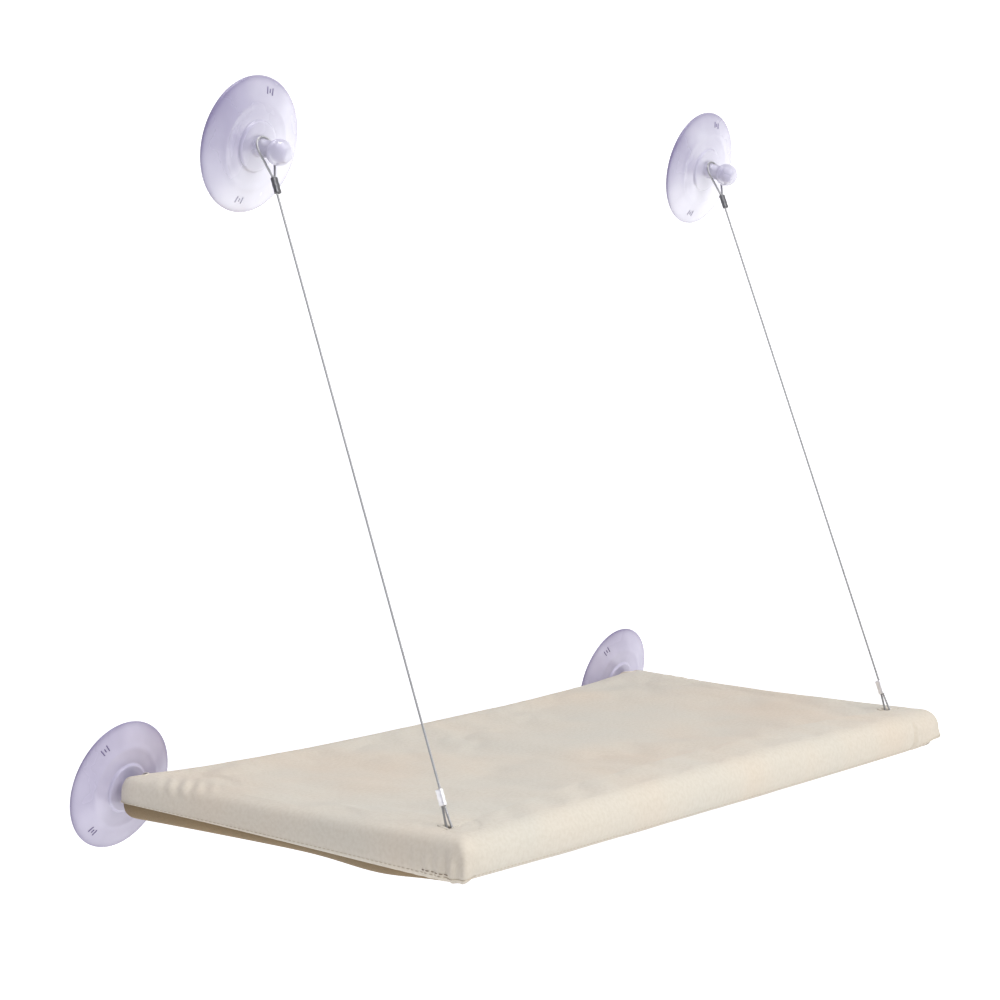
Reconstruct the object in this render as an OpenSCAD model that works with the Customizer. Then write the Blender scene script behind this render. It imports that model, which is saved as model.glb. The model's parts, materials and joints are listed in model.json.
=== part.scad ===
// Window mounted cat perch: a cloth covered frame that hangs on four suction cups and two wires.
// The window is the plane y = 0, the perch stands out towards -y, and z = 0 is the lower cups' height.

/* [Platform] */
// Width of the covered platform along the window
platform_w = 580; // [480:5:680]
// Depth of the covered platform out from the window
platform_d = 280; // [220:5:340]
// Rise of the platform's front above level when the wires are taut, in degrees
rest_tilt = 12; // [4:1:16]
// Lift of the platform until the necks meet the ends of their slots, in degrees
fold_travel = 40; // [20:1:46]

/* [Frame] */
// Diameter of the steel rails
rail_d = 12; // [10:0.5:13]
// Wall of the steel rails
rail_wall = 1; // [0.8:0.1:1.6]
// Diameter of the round hub in each corner
hub_d = 25; // [24:0.2:28]
// Height of that hub between its two flats
hub_h = 22.6; // [21:0.2:23.4]
// Diameter of the sleeves that take the rails
sleeve_d = 16; // [15.6:0.1:16.4]
// Reach of a sleeve from the centre of its corner
sleeve_reach = 42; // [38:1:60]
// Thickness of the collar at a sleeve's mouth
collar_t = 1; // [0.6:0.1:1.6]
// Length of that collar
collar_len = 4; // [2:0.5:7]
// Solid length between the centre of a corner and its rail bores
hub_core = 15; // [13:0.5:18]
// Free play of a rail in its sleeve, on the radius
rail_play = 0.1; // [0.05:0.01:0.15]
// Gap between a rail's end and the bottom of its bore
rail_end_gap = 0.3; // [0.1:0.1:1]
// Leg of the web between the two sleeves of a corner
web_leg = 34; // [31:1:36]
// Thickness of the web
web_t = 8; // [6:0.5:9]

/* [Suction cups] */
// Diameter of a suction cup
cup_d = 85; // [75:1:95]
// Width of the flat sealing ring
seal_w = 7; // [4:0.5:10]
// Thickness of the lip at the rim
lip_t = 1.1; // [0.8:0.1:1.6]
// Depth of the hollow behind the cup
hollow_h = 3.2; // [2:0.1:3.4]
// Diameter of the raised boss on the cup's face
boss_d = 32; // [26:1:38]
// Height of the cup's face at the foot of the boss
face_h = 6.8; // [6.2:0.1:7]
// Height of the top of the boss
boss_h = 8.4; // [7.8:0.1:8.5]
// Diameter of the neck
neck_d = 11; // [10:0.1:11.4]
// Round between the boss and the neck
neck_fillet = 1.6; // [1.2:0.1:1.8]
// Diameter of the ball head
head_d = 16.5; // [16:0.1:17]
// Distance from the window to the centre of the ball head
head_reach = 25.5; // [25.4:0.1:28]
// Flat on the tip of the ball head
head_flat = 1.1; // [0.5:0.1:2]
// Free play of a ball head in its socket, on the radius
head_play = 0.1; // [0.05:0.01:0.2]
// Free play of a neck in its slot, on each side
neck_play = 0.5; // [0.3:0.1:0.8]

/* [Wires] */
// Diameter of the steel wire
wire_d = 1.6; // [1.2:0.1:1.7]
// Distance of the upper cups from the middle
upper_cup_x = 252; // [200:1:280]
// Height of the upper cups above the lower cups
upper_cup_z = 415; // [360:5:480]
// Distance from the window to the middle of the loop on an upper cup
loop_reach = 14.4; // [14.3:0.1:14.7]
// Length of the upper loop from the neck's centre to its ferrule
upper_loop_len = 19; // [17:0.5:26]
// Length of the lower loop from its pin to its ferrule
lower_loop_len = 27; // [24:0.5:34]
// Length of a crimped ferrule
ferrule_len = 10; // [7:0.5:14]
// Wall of a ferrule
ferrule_wall = 0.8; // [0.5:0.1:1.2]
// Room between the wire and a ferrule's bore
ferrule_play = 0.1; // [0.05:0.01:0.15]
// Gap between the two strands in a ferrule
strand_gap = 0.1; // [0.05:0.01:0.2]
// Room between the upper loop and the neck inside it
neck_loop_play = 0.25; // [0.2:0.05:0.3]
// Diameter of the pin that holds a lower loop
pin_d = 4; // [3.5:0.1:4.2]
// Length of that pin
pin_len = 13; // [11:0.5:13.5]
// Distance of the pin's middle from both rails of its corner
pin_inset = 13.5; // [13.3:0.1:14.5]
// Room between the pin and its hole, on the radius
pin_play = 0.05; // [0.02:0.01:0.1]
// Room between the pin and the loop round it
pin_loop_play = 0.3; // [0.2:0.05:0.5]
// Room between the lower loop and the window in the web
web_window_room = 0.6; // [0.4:0.1:0.9]
// Width of that window along the pin
web_window_w = 6.8; // [5:0.2:7]

/* [Cover] */
// Thickness of the sewn canvas
cloth_t = 1.2; // [0.8:0.1:1.6]
// Room between the canvas and the corner hubs
cloth_room = 0.7; // [0.6:0.05:1.2]
// Drop of the top panel at the middle of the rear rail
rear_dip = 6.2; // [2:0.2:6.4]
// Drop of the top panel at the middle of the front roll
front_dip = 1; // [0:0.2:3]
// Further sag in the middle of the top panel
middle_sag = 5; // [1:0.5:7]
// Drop of the top panel along the side rails
side_dip = 2; // [0:0.2:3]
// Inward draw of the rear edge between the corners
rear_draw = 3; // [0:0.2:4]
// Inward draw of the side edges between the corners
side_draw = 2; // [0:0.2:4]
// Outward bow of the front roll between the corners
front_bow = 3; // [0:0.2:6]
// Rise of the padded front roll between the corners
front_puff = 4.4; // [0:0.2:6]
// Depth of the crease behind the front roll
crease_h = 2; // [0:0.2:3]
// Distance of the crease from the cover's outer edge at the corners
crease_inset = 29; // [27.5:0.5:32]
// Further set back of the crease between the corners
crease_bow = 16; // [0:1:20]
// Squareness of the cover's edge: 2 is round, 3 is nearly a box
edge_power = 2.6; // [2:0.1:2.8]
// Height of the hem below the middle of the side, at the window
hem_rear_h = 2.6; // [1:0.2:6]
// Height of the hem below the middle of the side, at the front
hem_front_h = 11; // [4:0.5:12]
// Gap of the seam between the top and the underside
seam_gap = 0.2; // [0.1:0.05:0.3]
// Room between a neck and the opening for it in the canvas
neck_opening_room = 1.5; // [1:0.1:2]
// Length of the slit where a wire enters the canvas
slit_len = 11; // [9:0.5:13]
// Width of that slit
slit_w = 5; // [4:0.2:7]
// Width of the sewn binding round the slit
binding_w = 2; // [1.5:0.1:3]
// Thickness of the sewn binding
binding_t = 0.8; // [0.5:0.1:1.2]

/* [Padding] */
// Room between a soft piece and what lies next to it
soft_room = 0.3; // [0.2:0.05:0.4]
// Room of the corner notches in the pad, past the webs
pad_notch_room = 8; // [7:0.5:14]

/* [Closure] */
// Length of the hook and loop closure under the platform
closure_len = 420; // [300:10:460]
// Distance of the closure from the rear rail
closure_inset = 52; // [45:1:80]
// Width of the hook and loop strips
strip_w = 20; // [16:1:25]
// Thickness of each strip
strip_t = 0.8; // [0.6:0.1:1.2]
// Overlap of the flap past the strips
flap_margin = 7; // [4:0.5:12]
// Thickness of the flap
flap_t = 1; // [0.8:0.1:1.4]

/* [Hidden] */

$fn = 64;

// One overrun for every cut
cut = 1;

// Half thickness of the cover where it rounds a corner hub
edge_r = hub_d / 2 + cloth_room + cloth_t;
inner_r = edge_r - cloth_t;

// Centre lines of the rails: the rear one is the axis on which the heads turn
rail_x = platform_w / 2 - edge_r;
front_y = -(platform_d - 2 * edge_r);
mid_y = front_y / 2;

// Foam round the front rail, and the space that it leaves for the pad
foam_r = inner_r - front_dip - crease_h / 2 - 2 * soft_room;
pad_inset = edge_r + foam_r + soft_room + front_bow;

// Pins in the front corners
pin_x = rail_x - pin_inset;
pin_y = front_y + pin_inset;

// Places and directions pass between the platform's own frame and the window's
function from_platform(p) = [
    p[0],
    p[1] * cos(rest_tilt) + p[2] * sin(rest_tilt) - head_reach,
    p[2] * cos(rest_tilt) - p[1] * sin(rest_tilt)
];
function along_platform(v) = [
    v[0],
    v[1] * cos(rest_tilt) - v[2] * sin(rest_tilt),
    v[1] * sin(rest_tilt) + v[2] * cos(rest_tilt)
];

// A wire runs from its pin up to the neck of the upper cup on the same side
function wire_foot(side) = from_platform([side * pin_x, pin_y, 0]);
function wire_head(side) = [side * upper_cup_x, -loop_reach, upper_cup_z];
function wire_dir(side) = (wire_head(side) - wire_foot(side)) / wire_span;
function wire_turn(side) = [-asin(wire_dir(side)[1]), atan2(wire_dir(side)[0], wire_dir(side)[2]), 0];
wire_span = norm(wire_head(1) - wire_foot(1));

// The loops lie in line with the wire, so the upper one crosses its neck on a slant
wire_slant = abs(wire_turn(1)[0]);
wire_r = wire_d / 2;
strand_x = wire_r + strand_gap / 2;
loop_steps = 14;
wire_sides = 8;
upper_loop_r = neck_d / 2 / cos(wire_slant) + wire_r + neck_loop_play;
lower_loop_r = pin_d / 2 + wire_r + pin_loop_play;

// Drift of the wire towards the window for each unit that it rises above the platform
wire_drift = along_platform(wire_dir(1))[1] / along_platform(wire_dir(1))[2];
wire_side_drift = along_platform(wire_dir(1))[0] / along_platform(wire_dir(1))[2];

// Steps round the cover's outline: long sides, short sides and corners
long_steps = 10;
short_steps = 5;
corner_steps = 5;
// The outline starts on the left side, this many steps from its rear end
start_step = floor(short_steps / 2);
ring_points = 2 * (long_steps - 1) + 2 * (short_steps - 1) + 4 * (corner_steps + 1);
// Least corner radius of the rings inside the rolled edge
ring_corner_r = 2;
// Angles of the rings on the roll above its middle
roll_angles = [0, 22.5, 45, 67.5, 90];
// Places of the rings across the panel, as shares of the way from the crease to the middle
panel_shares = [0, 0.25, 0.52, 0.78];
// Share of the depth, from the front, that the front roll and its crease take up
roll_depth_share = 0.12;
// Ring on the back of the front roll, as shares of its set back and its rise
roll_back_share = 0.5;
roll_rise_share = 0.8;
// Turns of the rings on the roll below the hem, as shares of the way to the bottom
under_shares = [0, 0.34, 0.67, 1];

function unit(v) = v / norm(v);
function reversed(list) = [for (i = [len(list) - 1 : -1 : 0]) list[i]];
function between(a, b, share) = a + (b - a) * share;
function clamp_share(s) = min(1, max(0, s));

// Share of the way from the front rail to the rear rail
function depth_share(y) = clamp_share((y - front_y) / -front_y);
// 1 in the middle of the width and 0 at the side rails
function span_share(x) = 1 - pow(min(1, abs(x) / rail_x), 3);

function top_drop(x, y) =
    let (v = depth_share(y), s = span_share(x))
    s * (between(front_dip, rear_dip, v) + middle_sag * 4 * v * (1 - v))
    + (1 - s) * side_dip * 4 * v * (1 - v);

// 1 on the front roll in the middle of the width, 0 at its ends and on the other sides
function roll_share(x, y) = depth_share(y) < roll_depth_share ? span_share(x) : 0;

// Reach of the cover's section at an angle from its middle, as a share of its half thickness
function edge_share(a) =
    pow(pow(abs(cos(a)), edge_power) + pow(abs(sin(a)), edge_power), -1 / edge_power);
corner_reach = edge_r * edge_share(45);

function hem_h(y) = between(hem_front_h, hem_rear_h, depth_share(y));

// Outline of the platform at an inset, as points in order round it
function outline(inset) =
    let (
        hx = platform_w / 2 - inset,
        hy = platform_d / 2 - inset,
        r = max(edge_r - inset, ring_corner_r),
        cx = hx - r,
        cy = hy - r
    )
    concat(
        [for (k = [start_step + 1 : short_steps - 1]) [-hx, between(cy, -cy, k / short_steps)]],
        [for (k = [0 : corner_steps]) let (a = 180 + 90 * k / corner_steps) [-cx + r * cos(a), -cy + r * sin(a)]],
        [for (k = [1 : long_steps - 1]) [between(-cx, cx, k / long_steps), -hy]],
        [for (k = [0 : corner_steps]) let (a = 270 + 90 * k / corner_steps) [cx + r * cos(a), -cy + r * sin(a)]],
        [for (k = [1 : short_steps - 1]) [hx, between(-cy, cy, k / short_steps)]],
        [for (k = [0 : corner_steps]) let (a = 90 * k / corner_steps) [cx + r * cos(a), cy + r * sin(a)]],
        [for (k = [1 : long_steps - 1]) [between(cx, -cx, k / long_steps), hy]],
        [for (k = [0 : corner_steps]) let (a = 90 + 90 * k / corner_steps) [-cx + r * cos(a), cy + r * sin(a)]],
        [for (k = [1 : start_step]) [-hx, between(cy, -cy, k / short_steps)]]
    );

// Draws the edges in, or bows them out, between the corners
function drawn(p) =
    let (
        v = max(-1, min(1, -p[1] / mid_y)),
        u = max(-1, min(1, p[0] / rail_x)),
        pull = v > 0 ? rear_draw : front_bow
    )
    [
        p[0] - u * abs(u) * side_draw * (1 - v * v),
        p[1] + mid_y - v * v * pull * span_share(p[0])
    ];

// Ring on the roll, at an angle from its middle; t is the distance in from the cloth's outer face
function roll_ring(t, angles) =
    let (r = edge_r - t)
    [for (i = [0 : ring_points - 1])
        let (
            a = is_list(angles) ? angles[i] : angles,
            q = edge_share(a),
            p = drawn(outline(t + r * (1 - q * cos(a)))[i]),
            top = r - top_drop(p[0], p[1]) + front_puff * roll_share(p[0], p[1])
        )
        [p[0], p[1], (a < 0 ? r : top) * q * sin(a)]
    ];

// Angles of the hem round the outline
hem_angles = [for (p = outline(0)) -asin(hem_h(p[1] + mid_y) / edge_r)];

// Ring on the top panel; bow and rise move its stretch behind the front roll back and up
function panel_ring(t, inset, bow, rise) =
    [for (q = outline(inset))
        let (
            p = drawn(q),
            c = roll_share(p[0], p[1]),
            y = p[1] + bow * c
        )
        [p[0], y, edge_r - t - top_drop(p[0], y) + rise * c]
    ];

// Rings of the top panel, from the crease to the middle
function panel_rings(t) =
    [for (s = panel_shares)
        let (inset = between(crease_inset, platform_d / 2, s))
        s == 0 ? panel_ring(t, inset, crease_bow, -crease_h) : panel_ring(t, inset, 0, 0)];

function top_rings(t) = concat(
    [roll_ring(t, hem_angles), roll_ring(t, hem_angles / 2)],
    [for (a = roll_angles) roll_ring(t, a)],
    [panel_ring(
        t,
        between(edge_r, crease_inset, roll_back_share),
        crease_bow * roll_back_share,
        front_puff * roll_rise_share
    )],
    panel_rings(t)
);

// Rings of the underside, from the seam down and in; the seam's gap is an angle on the roll
seam_angle = asin(seam_gap / edge_r);
function under_rings(t) = concat(
    [for (s = under_shares)
        roll_ring(t, [for (a = hem_angles) between(a - seam_angle, -90, s)])],
    [[for (q = outline(crease_inset)) let (p = drawn(q)) [p[0], p[1], t - edge_r]]]
);

// Closed solid through a stack of rings, with an apex at each end
module ring_stack(rings, first_apex, last_apex) {
    n = len(rings[0]);
    m = len(rings);
    points = concat([for (r = rings, p = r) p], [first_apex, last_apex]);
    sides = [for (j = [0 : m - 2], i = [0 : n - 1])
        let (k = (i + 1) % n)
        [j * n + i, (j + 1) * n + i, (j + 1) * n + k, j * n + k]];
    first_fan = [for (i = [0 : n - 1]) [m * n, i, (i + 1) % n]];
    last_fan = [for (i = [0 : n - 1]) [m * n + 1, (m - 1) * n + (i + 1) % n, (m - 1) * n + i]];
    triangles = concat(
        [for (q = sides) [q[0], q[1], q[2]]],
        [for (q = sides) [q[0], q[2], q[3]]],
        first_fan,
        last_fan
    );
    polyhedron(points, triangles, convexity = 6);
}

// Moves the platform's own frame to its place at rest
module at_rest() {
    translate([0, -head_reach, 0])
        rotate([-rest_tilt, 0, 0])
            children();
}

module in_platform() {
    rotate([rest_tilt, 0, 0])
        translate([0, head_reach, 0])
            children();
}

// Frame with z along a wire, up from its pin
module along_wire(side, distance) {
    translate(wire_foot(side))
        rotate(wire_turn(side))
            translate([0, 0, distance])
                children();
}

// Suction cup with its axis along z, standing on the window at z = 0
module suction_cup() {
    cup_r = cup_d / 2;
    hollow_r = cup_r - seal_w;
    boss_r = boss_d / 2;
    neck_r = neck_d / 2;
    face_steps = 8;
    profile = concat(
        [for (k = [0 : face_steps]) let (s = k / face_steps) [hollow_r * s, hollow_h * (1 - s * s)]],
        [[cup_r, 0]],
        [for (k = [0 : face_steps])
            let (s = k / face_steps)
            [between(cup_r, boss_r, s), between(lip_t, face_h, sin(90 * s))]],
        [for (k = [1 : face_steps])
            let (a = 90 * k / face_steps)
            [boss_r - (boss_h - face_h) * (1 - cos(a)), between(face_h, boss_h, sin(a))]],
        [for (k = [0 : face_steps])
            let (a = 90 * k / face_steps)
            [neck_r + neck_fillet * (1 - sin(a)), boss_h + neck_fillet * (1 - cos(a))]],
        [[neck_r, head_reach], [0, head_reach]]
    );
    rotate_extrude($fn = 96)
        polygon(profile);
    translate([0, 0, head_reach])
        difference() {
            sphere(d = head_d);
            translate([-head_d, -head_d, head_d / 2 - head_flat])
                cube([2 * head_d, 2 * head_d, head_d]);
        }
}

module cup_at(x, z) {
    color([0.82, 0.81, 0.93, 0.75])
        translate([x, 0, z])
            rotate([90, 0, 0])
                suction_cup();
}

// Outline of a loop round the origin that closes to two strands at height h, as [across, along]
function loop_path(loop_r, h) =
    let (lean = asin(loop_r / norm([h, strand_x])) - atan2(strand_x, h))
    concat(
        [[strand_x, h]],
        [for (k = [0 : loop_steps])
            let (a = lean - (180 + 2 * lean) * k / loop_steps)
            loop_r * [cos(a), sin(a)]],
        [[-strand_x, h]]
    );

// Route of a wire from tail to tail, through both loops, with z along the wire
function wire_path() =
    let (
        low = loop_path(lower_loop_r, lower_loop_len),
        high = reversed(loop_path(upper_loop_r, upper_loop_len)),
        tail = ferrule_len - wire_r,
        top = wire_span - upper_loop_len
    )
    concat(
        [[0, strand_x, lower_loop_len + tail]],
        [for (p = low) [0, p[0], p[1]]],
        [[0, -strand_x, lower_loop_len + ferrule_len]],
        [[-strand_x, 0, top - ferrule_len]],
        [for (p = high) [p[0], 0, wire_span - p[1]]],
        [[strand_x, 0, top - tail]]
    );

// Directions across a tube at each point of its path, carried along without twist
function carried(tangents, across, k = 0) =
    k == len(tangents) ? [] :
    let (n = unit(across - (across * tangents[k]) * tangents[k]))
    concat([n], carried(tangents, n, k + 1));

// Round tube along a path
module tube(path, r, sides) {
    last = len(path) - 1;
    tangents = [for (i = [0 : last])
        unit(unit(path[min(i + 1, last)] - path[min(i, last - 1)])
            + unit(path[max(i, 1)] - path[max(i - 1, 0)]))];
    across = carried(tangents, [1, 0, 0]);
    rings = [for (i = [0 : last])
        [for (k = [0 : sides - 1])
            let (a = 360 * k / sides)
            path[i] + r * (cos(a) * across[i] + sin(a) * cross(tangents[i], across[i]))]];
    ring_stack(rings, path[0], path[last]);
}

// One wire with a loop at each end
module cable(side) {
    color([0.62, 0.63, 0.65])
        along_wire(side, 0)
            tube(wire_path(), wire_r, wire_sides);
}

// Crimped oval sleeve round the two strands of a loop, with its strands side by side along x
module ferrule() {
    difference() {
        linear_extrude(ferrule_len)
            oval(wire_r + ferrule_play + ferrule_wall);
        translate([0, 0, -cut])
            linear_extrude(ferrule_len + 2 * cut)
                oval(wire_r + ferrule_play);
    }
}

module oval(r) {
    for (s = [-1, 1])
        translate([s * strand_x, 0])
            circle(r = r, $fn = 32);
    square([2 * strand_x, 2 * r], center = true);
}

module upper_ferrule(side) {
    color([0.45, 0.46, 0.48])
        along_wire(side, wire_span - upper_loop_len - ferrule_len)
            ferrule();
}

module lower_ferrule(side) {
    color([0.86, 0.87, 0.89])
        along_wire(side, lower_loop_len)
            rotate([0, 0, 90])
                ferrule();
}

// Steel tube along x, centred on the origin
module rail(length) {
    color([0.75, 0.76, 0.78])
        rotate([0, 90, 0])
            difference() {
                cylinder(d = rail_d, h = length, center = true);
                cylinder(d = rail_d - 2 * rail_wall, h = length + 2 * cut, center = true);
            }
}

long_rail_len = 2 * (rail_x - hub_core - rail_end_gap);
short_rail_len = -front_y - 2 * (hub_core + rail_end_gap);

module long_rail(y) {
    at_rest()
        translate([0, y, 0])
            rail(long_rail_len);
}

module short_rail(side) {
    at_rest()
        translate([side * rail_x, mid_y, 0])
            rotate([0, 0, 90])
                rail(short_rail_len);
}

// Sleeve along +x from the hub, with a collar at its mouth
module sleeve() {
    rotate([0, 90, 0])
        cylinder(d = sleeve_d, h = sleeve_reach);
    translate([sleeve_reach - collar_len, 0, 0])
        rotate([0, 90, 0])
            cylinder(d = sleeve_d + 2 * collar_t, h = collar_len);
}

module sleeve_bore() {
    translate([hub_core, 0, 0])
        rotate([0, 90, 0])
            cylinder(d = rail_d + 2 * rail_play, h = sleeve_reach);
}

// Ball of a corner between its two flats, with its seam on the side away from the sleeves
module hub() {
    rotate([0, 0, 225])
        intersection() {
            sphere(d = hub_d);
            cube([2 * hub_d, 2 * hub_d, hub_h], center = true);
        }
}

// Corner fitting with its sleeves along +x and +y, turned round z
module corner_body(turn) {
    rotate([0, 0, turn])
        corner_casting();
}

module corner_casting() {
    difference() {
        union() {
            hub();
            sleeve();
            rotate([0, 0, 90])
                sleeve();
            translate([0, 0, -web_t / 2])
                linear_extrude(web_t)
                    polygon([[0, 0], [web_leg, 0], [0, web_leg]]);
        }
        sleeve_bore();
        rotate([0, 0, 90])
            sleeve_bore();
    }
}

// The slot's flat sides cut into its round ends, as a share of their radius
slot_side_share = 0.96;

// Space swept by a neck from rest to full lift, round the origin in the yz plane
module neck_sweep(r, reach) {
    for (a = [rest_tilt, rest_tilt + fold_travel])
        rotate([a - 90, 0, 0])
            cylinder(r = r, h = reach);
    sweep_steps = 8;
    rotate([90, 0, 90])
        linear_extrude(2 * r * slot_side_share, center = true)
            polygon(concat(
                [[0, 0]],
                [for (k = [0 : sweep_steps])
                    let (a = rest_tilt + fold_travel * k / sweep_steps)
                    [reach * cos(a), reach * sin(a)]]
            ));
}

// Ball socket of a rear corner with the slot that its neck swings in
module rear_corner(side) {
    color([0.2, 0.2, 0.21])
        at_rest()
            translate([side * rail_x, 0, 0])
                difference() {
                    corner_body(side > 0 ? 180 : 270);
                    sphere(r = head_d / 2 + head_play);
                    neck_sweep(neck_d / 2 + neck_play, hub_d / 2 + cut);
                }
}

// Front corner with a window in its web, crossed by the pin for the wire
module front_corner(side) {
    loop_out = lower_loop_r + wire_r + web_window_room;
    color([0.2, 0.2, 0.21])
        at_rest()
            translate([side * rail_x, front_y, 0])
                difference() {
                    corner_body(side > 0 ? 90 : 0);
                    translate([-side * pin_inset - web_window_w / 2, pin_inset - loop_out, -web_t / 2 - cut])
                        cube([web_window_w, 2 * loop_out + wire_drift * web_t / 2, web_t + 2 * cut]);
                    translate([-side * (pin_inset - pin_len / 2), pin_inset, 0])
                        rotate([0, -side * 90, 0])
                            cylinder(d = pin_d + 2 * pin_play, h = web_leg, $fn = 48);
                }
}

module cable_pin(side) {
    color([0.75, 0.76, 0.78])
        at_rest()
            translate([side * pin_x - pin_len / 2, pin_y, 0])
                rotate([0, 90, 0])
                    cylinder(d = pin_d, h = pin_len, $fn = 48);
}

// Foam tube on the front rail between its two sleeves
module front_foam_sleeve() {
    length = 2 * (rail_x - sleeve_reach - soft_room);
    color([0.93, 0.91, 0.86])
        at_rest()
            translate([0, front_y, 0])
                rotate([0, 90, 0])
                    difference() {
                        cylinder(r = foam_r, h = length, center = true);
                        cylinder(d = rail_d + 2 * rail_play, h = length + 2 * cut, center = true);
                    }
}

// Pad between the rails, sagging with the cover, notched round the corner webs
module foam_pad() {
    top = cloth_t + 2 * soft_room;
    floor_z = soft_room - inner_r;
    rings = concat(
        [[for (q = outline(pad_inset)) let (p = drawn(q)) [p[0], p[1], floor_z]]],
        [panel_ring(top, pad_inset, 0, -crease_h)],
        panel_rings(top)
    );
    notch = web_leg + pad_notch_room;
    color([0.95, 0.94, 0.9])
        at_rest()
            difference() {
                ring_stack(rings, [0, mid_y, floor_z], [0, mid_y, edge_r - top - top_drop(0, mid_y)]);
                for (x = [-rail_x, rail_x], y = [0, front_y])
                    translate([x, y, -edge_r])
                        linear_extrude(2 * edge_r)
                            polygon([[notch, 0], [0, notch], [-notch, 0], [0, -notch]]);
            }
}

// Opening in the canvas behind each rear corner, and the slit over each pin
module cover_openings() {
    for (side = [-1, 1]) {
        translate([side * rail_x, 0, 0])
            neck_sweep(neck_d / 2 + neck_play + neck_opening_room, corner_reach + cut);
        in_platform()
            along_wire(side, 0)
                linear_extrude(lower_loop_len)
                    slit_shape(0);
    }
}

// Round ended slit along y, grown by a margin
module slit_shape(margin) {
    run = slit_len - slit_w;
    for (s = [-1, 1])
        translate([0, s * run / 2])
            circle(d = slit_w + 2 * margin, $fn = 24);
    square([slit_w + 2 * margin, run], center = true);
}

module cover_top() {
    outer = top_rings(0);
    inner = top_rings(cloth_t);
    crown = edge_r - top_drop(0, mid_y);
    color([0.87, 0.83, 0.75])
        at_rest()
            difference() {
                ring_stack(
                    concat(reversed(inner), outer),
                    [0, mid_y, crown - cloth_t],
                    [0, mid_y, crown]
                );
                cover_openings();
            }
}

module cover_underside() {
    outer = under_rings(0);
    inner = under_rings(cloth_t);
    color([0.55, 0.5, 0.38])
        at_rest()
            difference() {
                ring_stack(
                    concat(reversed(outer), inner),
                    [0, mid_y, -edge_r],
                    [0, mid_y, -inner_r]
                );
                for (side = [-1, 1])
                    translate([side * rail_x, 0, 0])
                        neck_sweep(neck_d / 2 + neck_play + neck_opening_room, corner_reach + cut);
            }
}

// Sewn binding that lies on the canvas round a slit
module slit_binding(side) {
    x = side * (pin_x + wire_side_drift * edge_r);
    y = pin_y + wire_drift * edge_r;
    z = edge_r - top_drop(x, y) + front_puff * roll_share(x, y);
    color([0.8, 0.75, 0.66])
        at_rest()
            translate([x, y, z + soft_room])
                linear_extrude(binding_t)
                    difference() {
                        slit_shape(binding_w);
                        slit_shape(0);
                    }
}

// Strip under the platform, a number of strip thicknesses below the canvas
module closure_strip(layers) {
    at_rest()
        translate([-closure_len / 2, -closure_inset - strip_w / 2, -edge_r - layers * strip_t])
            cube([closure_len, strip_w, strip_t]);
}

module loop_strip() {
    color([0.9, 0.88, 0.82])
        closure_strip(1);
}

module hook_strip() {
    color([0.84, 0.82, 0.76])
        closure_strip(2);
}

module closure_flap() {
    drop = 2 * strip_t + flap_t;
    half = strip_w / 2;
    color([0.58, 0.53, 0.41])
        at_rest()
            translate([-closure_len / 2, -closure_inset, -edge_r])
                rotate([90, 0, 90])
                    linear_extrude(closure_len)
                        polygon([
                            [half + soft_room, 0],
                            [half + flap_margin, 0],
                            [half + flap_margin, -drop],
                            [-half - flap_margin, -drop],
                            [-half - flap_margin, flap_t - drop],
                            [half + soft_room, flap_t - drop]
                        ]);
}

cup_at(-upper_cup_x, upper_cup_z);  // upper_suction_cup_left
cup_at(upper_cup_x, upper_cup_z);  // upper_suction_cup_right
cup_at(-rail_x, 0);  // lower_suction_cup_left
cup_at(rail_x, 0);  // lower_suction_cup_right
cable(-1);  // cable_left
cable(1);  // cable_right
upper_ferrule(-1);  // upper_ferrule_left
upper_ferrule(1);  // upper_ferrule_right
lower_ferrule(-1);  // lower_ferrule_left
lower_ferrule(1);  // lower_ferrule_right
long_rail(0);  // rear_rail
long_rail(front_y);  // front_rail
short_rail(-1);  // left_rail
short_rail(1);  // right_rail
rear_corner(-1);  // rear_left_corner
rear_corner(1);  // rear_right_corner
front_corner(-1);  // front_left_corner
front_corner(1);  // front_right_corner
cable_pin(-1);  // cable_pin_left
cable_pin(1);  // cable_pin_right
front_foam_sleeve();
foam_pad();
cover_top();
cover_underside();
slit_binding(-1);  // slit_binding_left
slit_binding(1);  // slit_binding_right
closure_flap();
hook_strip();
loop_strip();
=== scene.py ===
import json
import math
import bpy
import numpy as np
from mathutils import Matrix, Vector


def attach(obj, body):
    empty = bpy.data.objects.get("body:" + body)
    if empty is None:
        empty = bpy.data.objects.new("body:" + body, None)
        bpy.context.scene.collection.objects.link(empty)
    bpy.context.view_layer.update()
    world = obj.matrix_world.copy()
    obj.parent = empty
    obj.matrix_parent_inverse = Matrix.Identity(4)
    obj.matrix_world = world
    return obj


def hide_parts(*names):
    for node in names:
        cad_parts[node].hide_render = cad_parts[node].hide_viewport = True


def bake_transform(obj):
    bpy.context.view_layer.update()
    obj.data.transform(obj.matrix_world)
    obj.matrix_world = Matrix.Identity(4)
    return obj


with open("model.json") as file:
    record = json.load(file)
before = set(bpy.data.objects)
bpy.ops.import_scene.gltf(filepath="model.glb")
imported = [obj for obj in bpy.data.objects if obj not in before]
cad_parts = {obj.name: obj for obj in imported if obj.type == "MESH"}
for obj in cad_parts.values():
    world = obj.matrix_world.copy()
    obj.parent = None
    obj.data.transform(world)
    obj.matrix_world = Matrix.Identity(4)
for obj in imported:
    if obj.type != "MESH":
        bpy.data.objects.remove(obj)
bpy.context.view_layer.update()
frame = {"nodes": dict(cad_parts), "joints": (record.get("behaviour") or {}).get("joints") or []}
print("stage: frame loaded")

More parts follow.
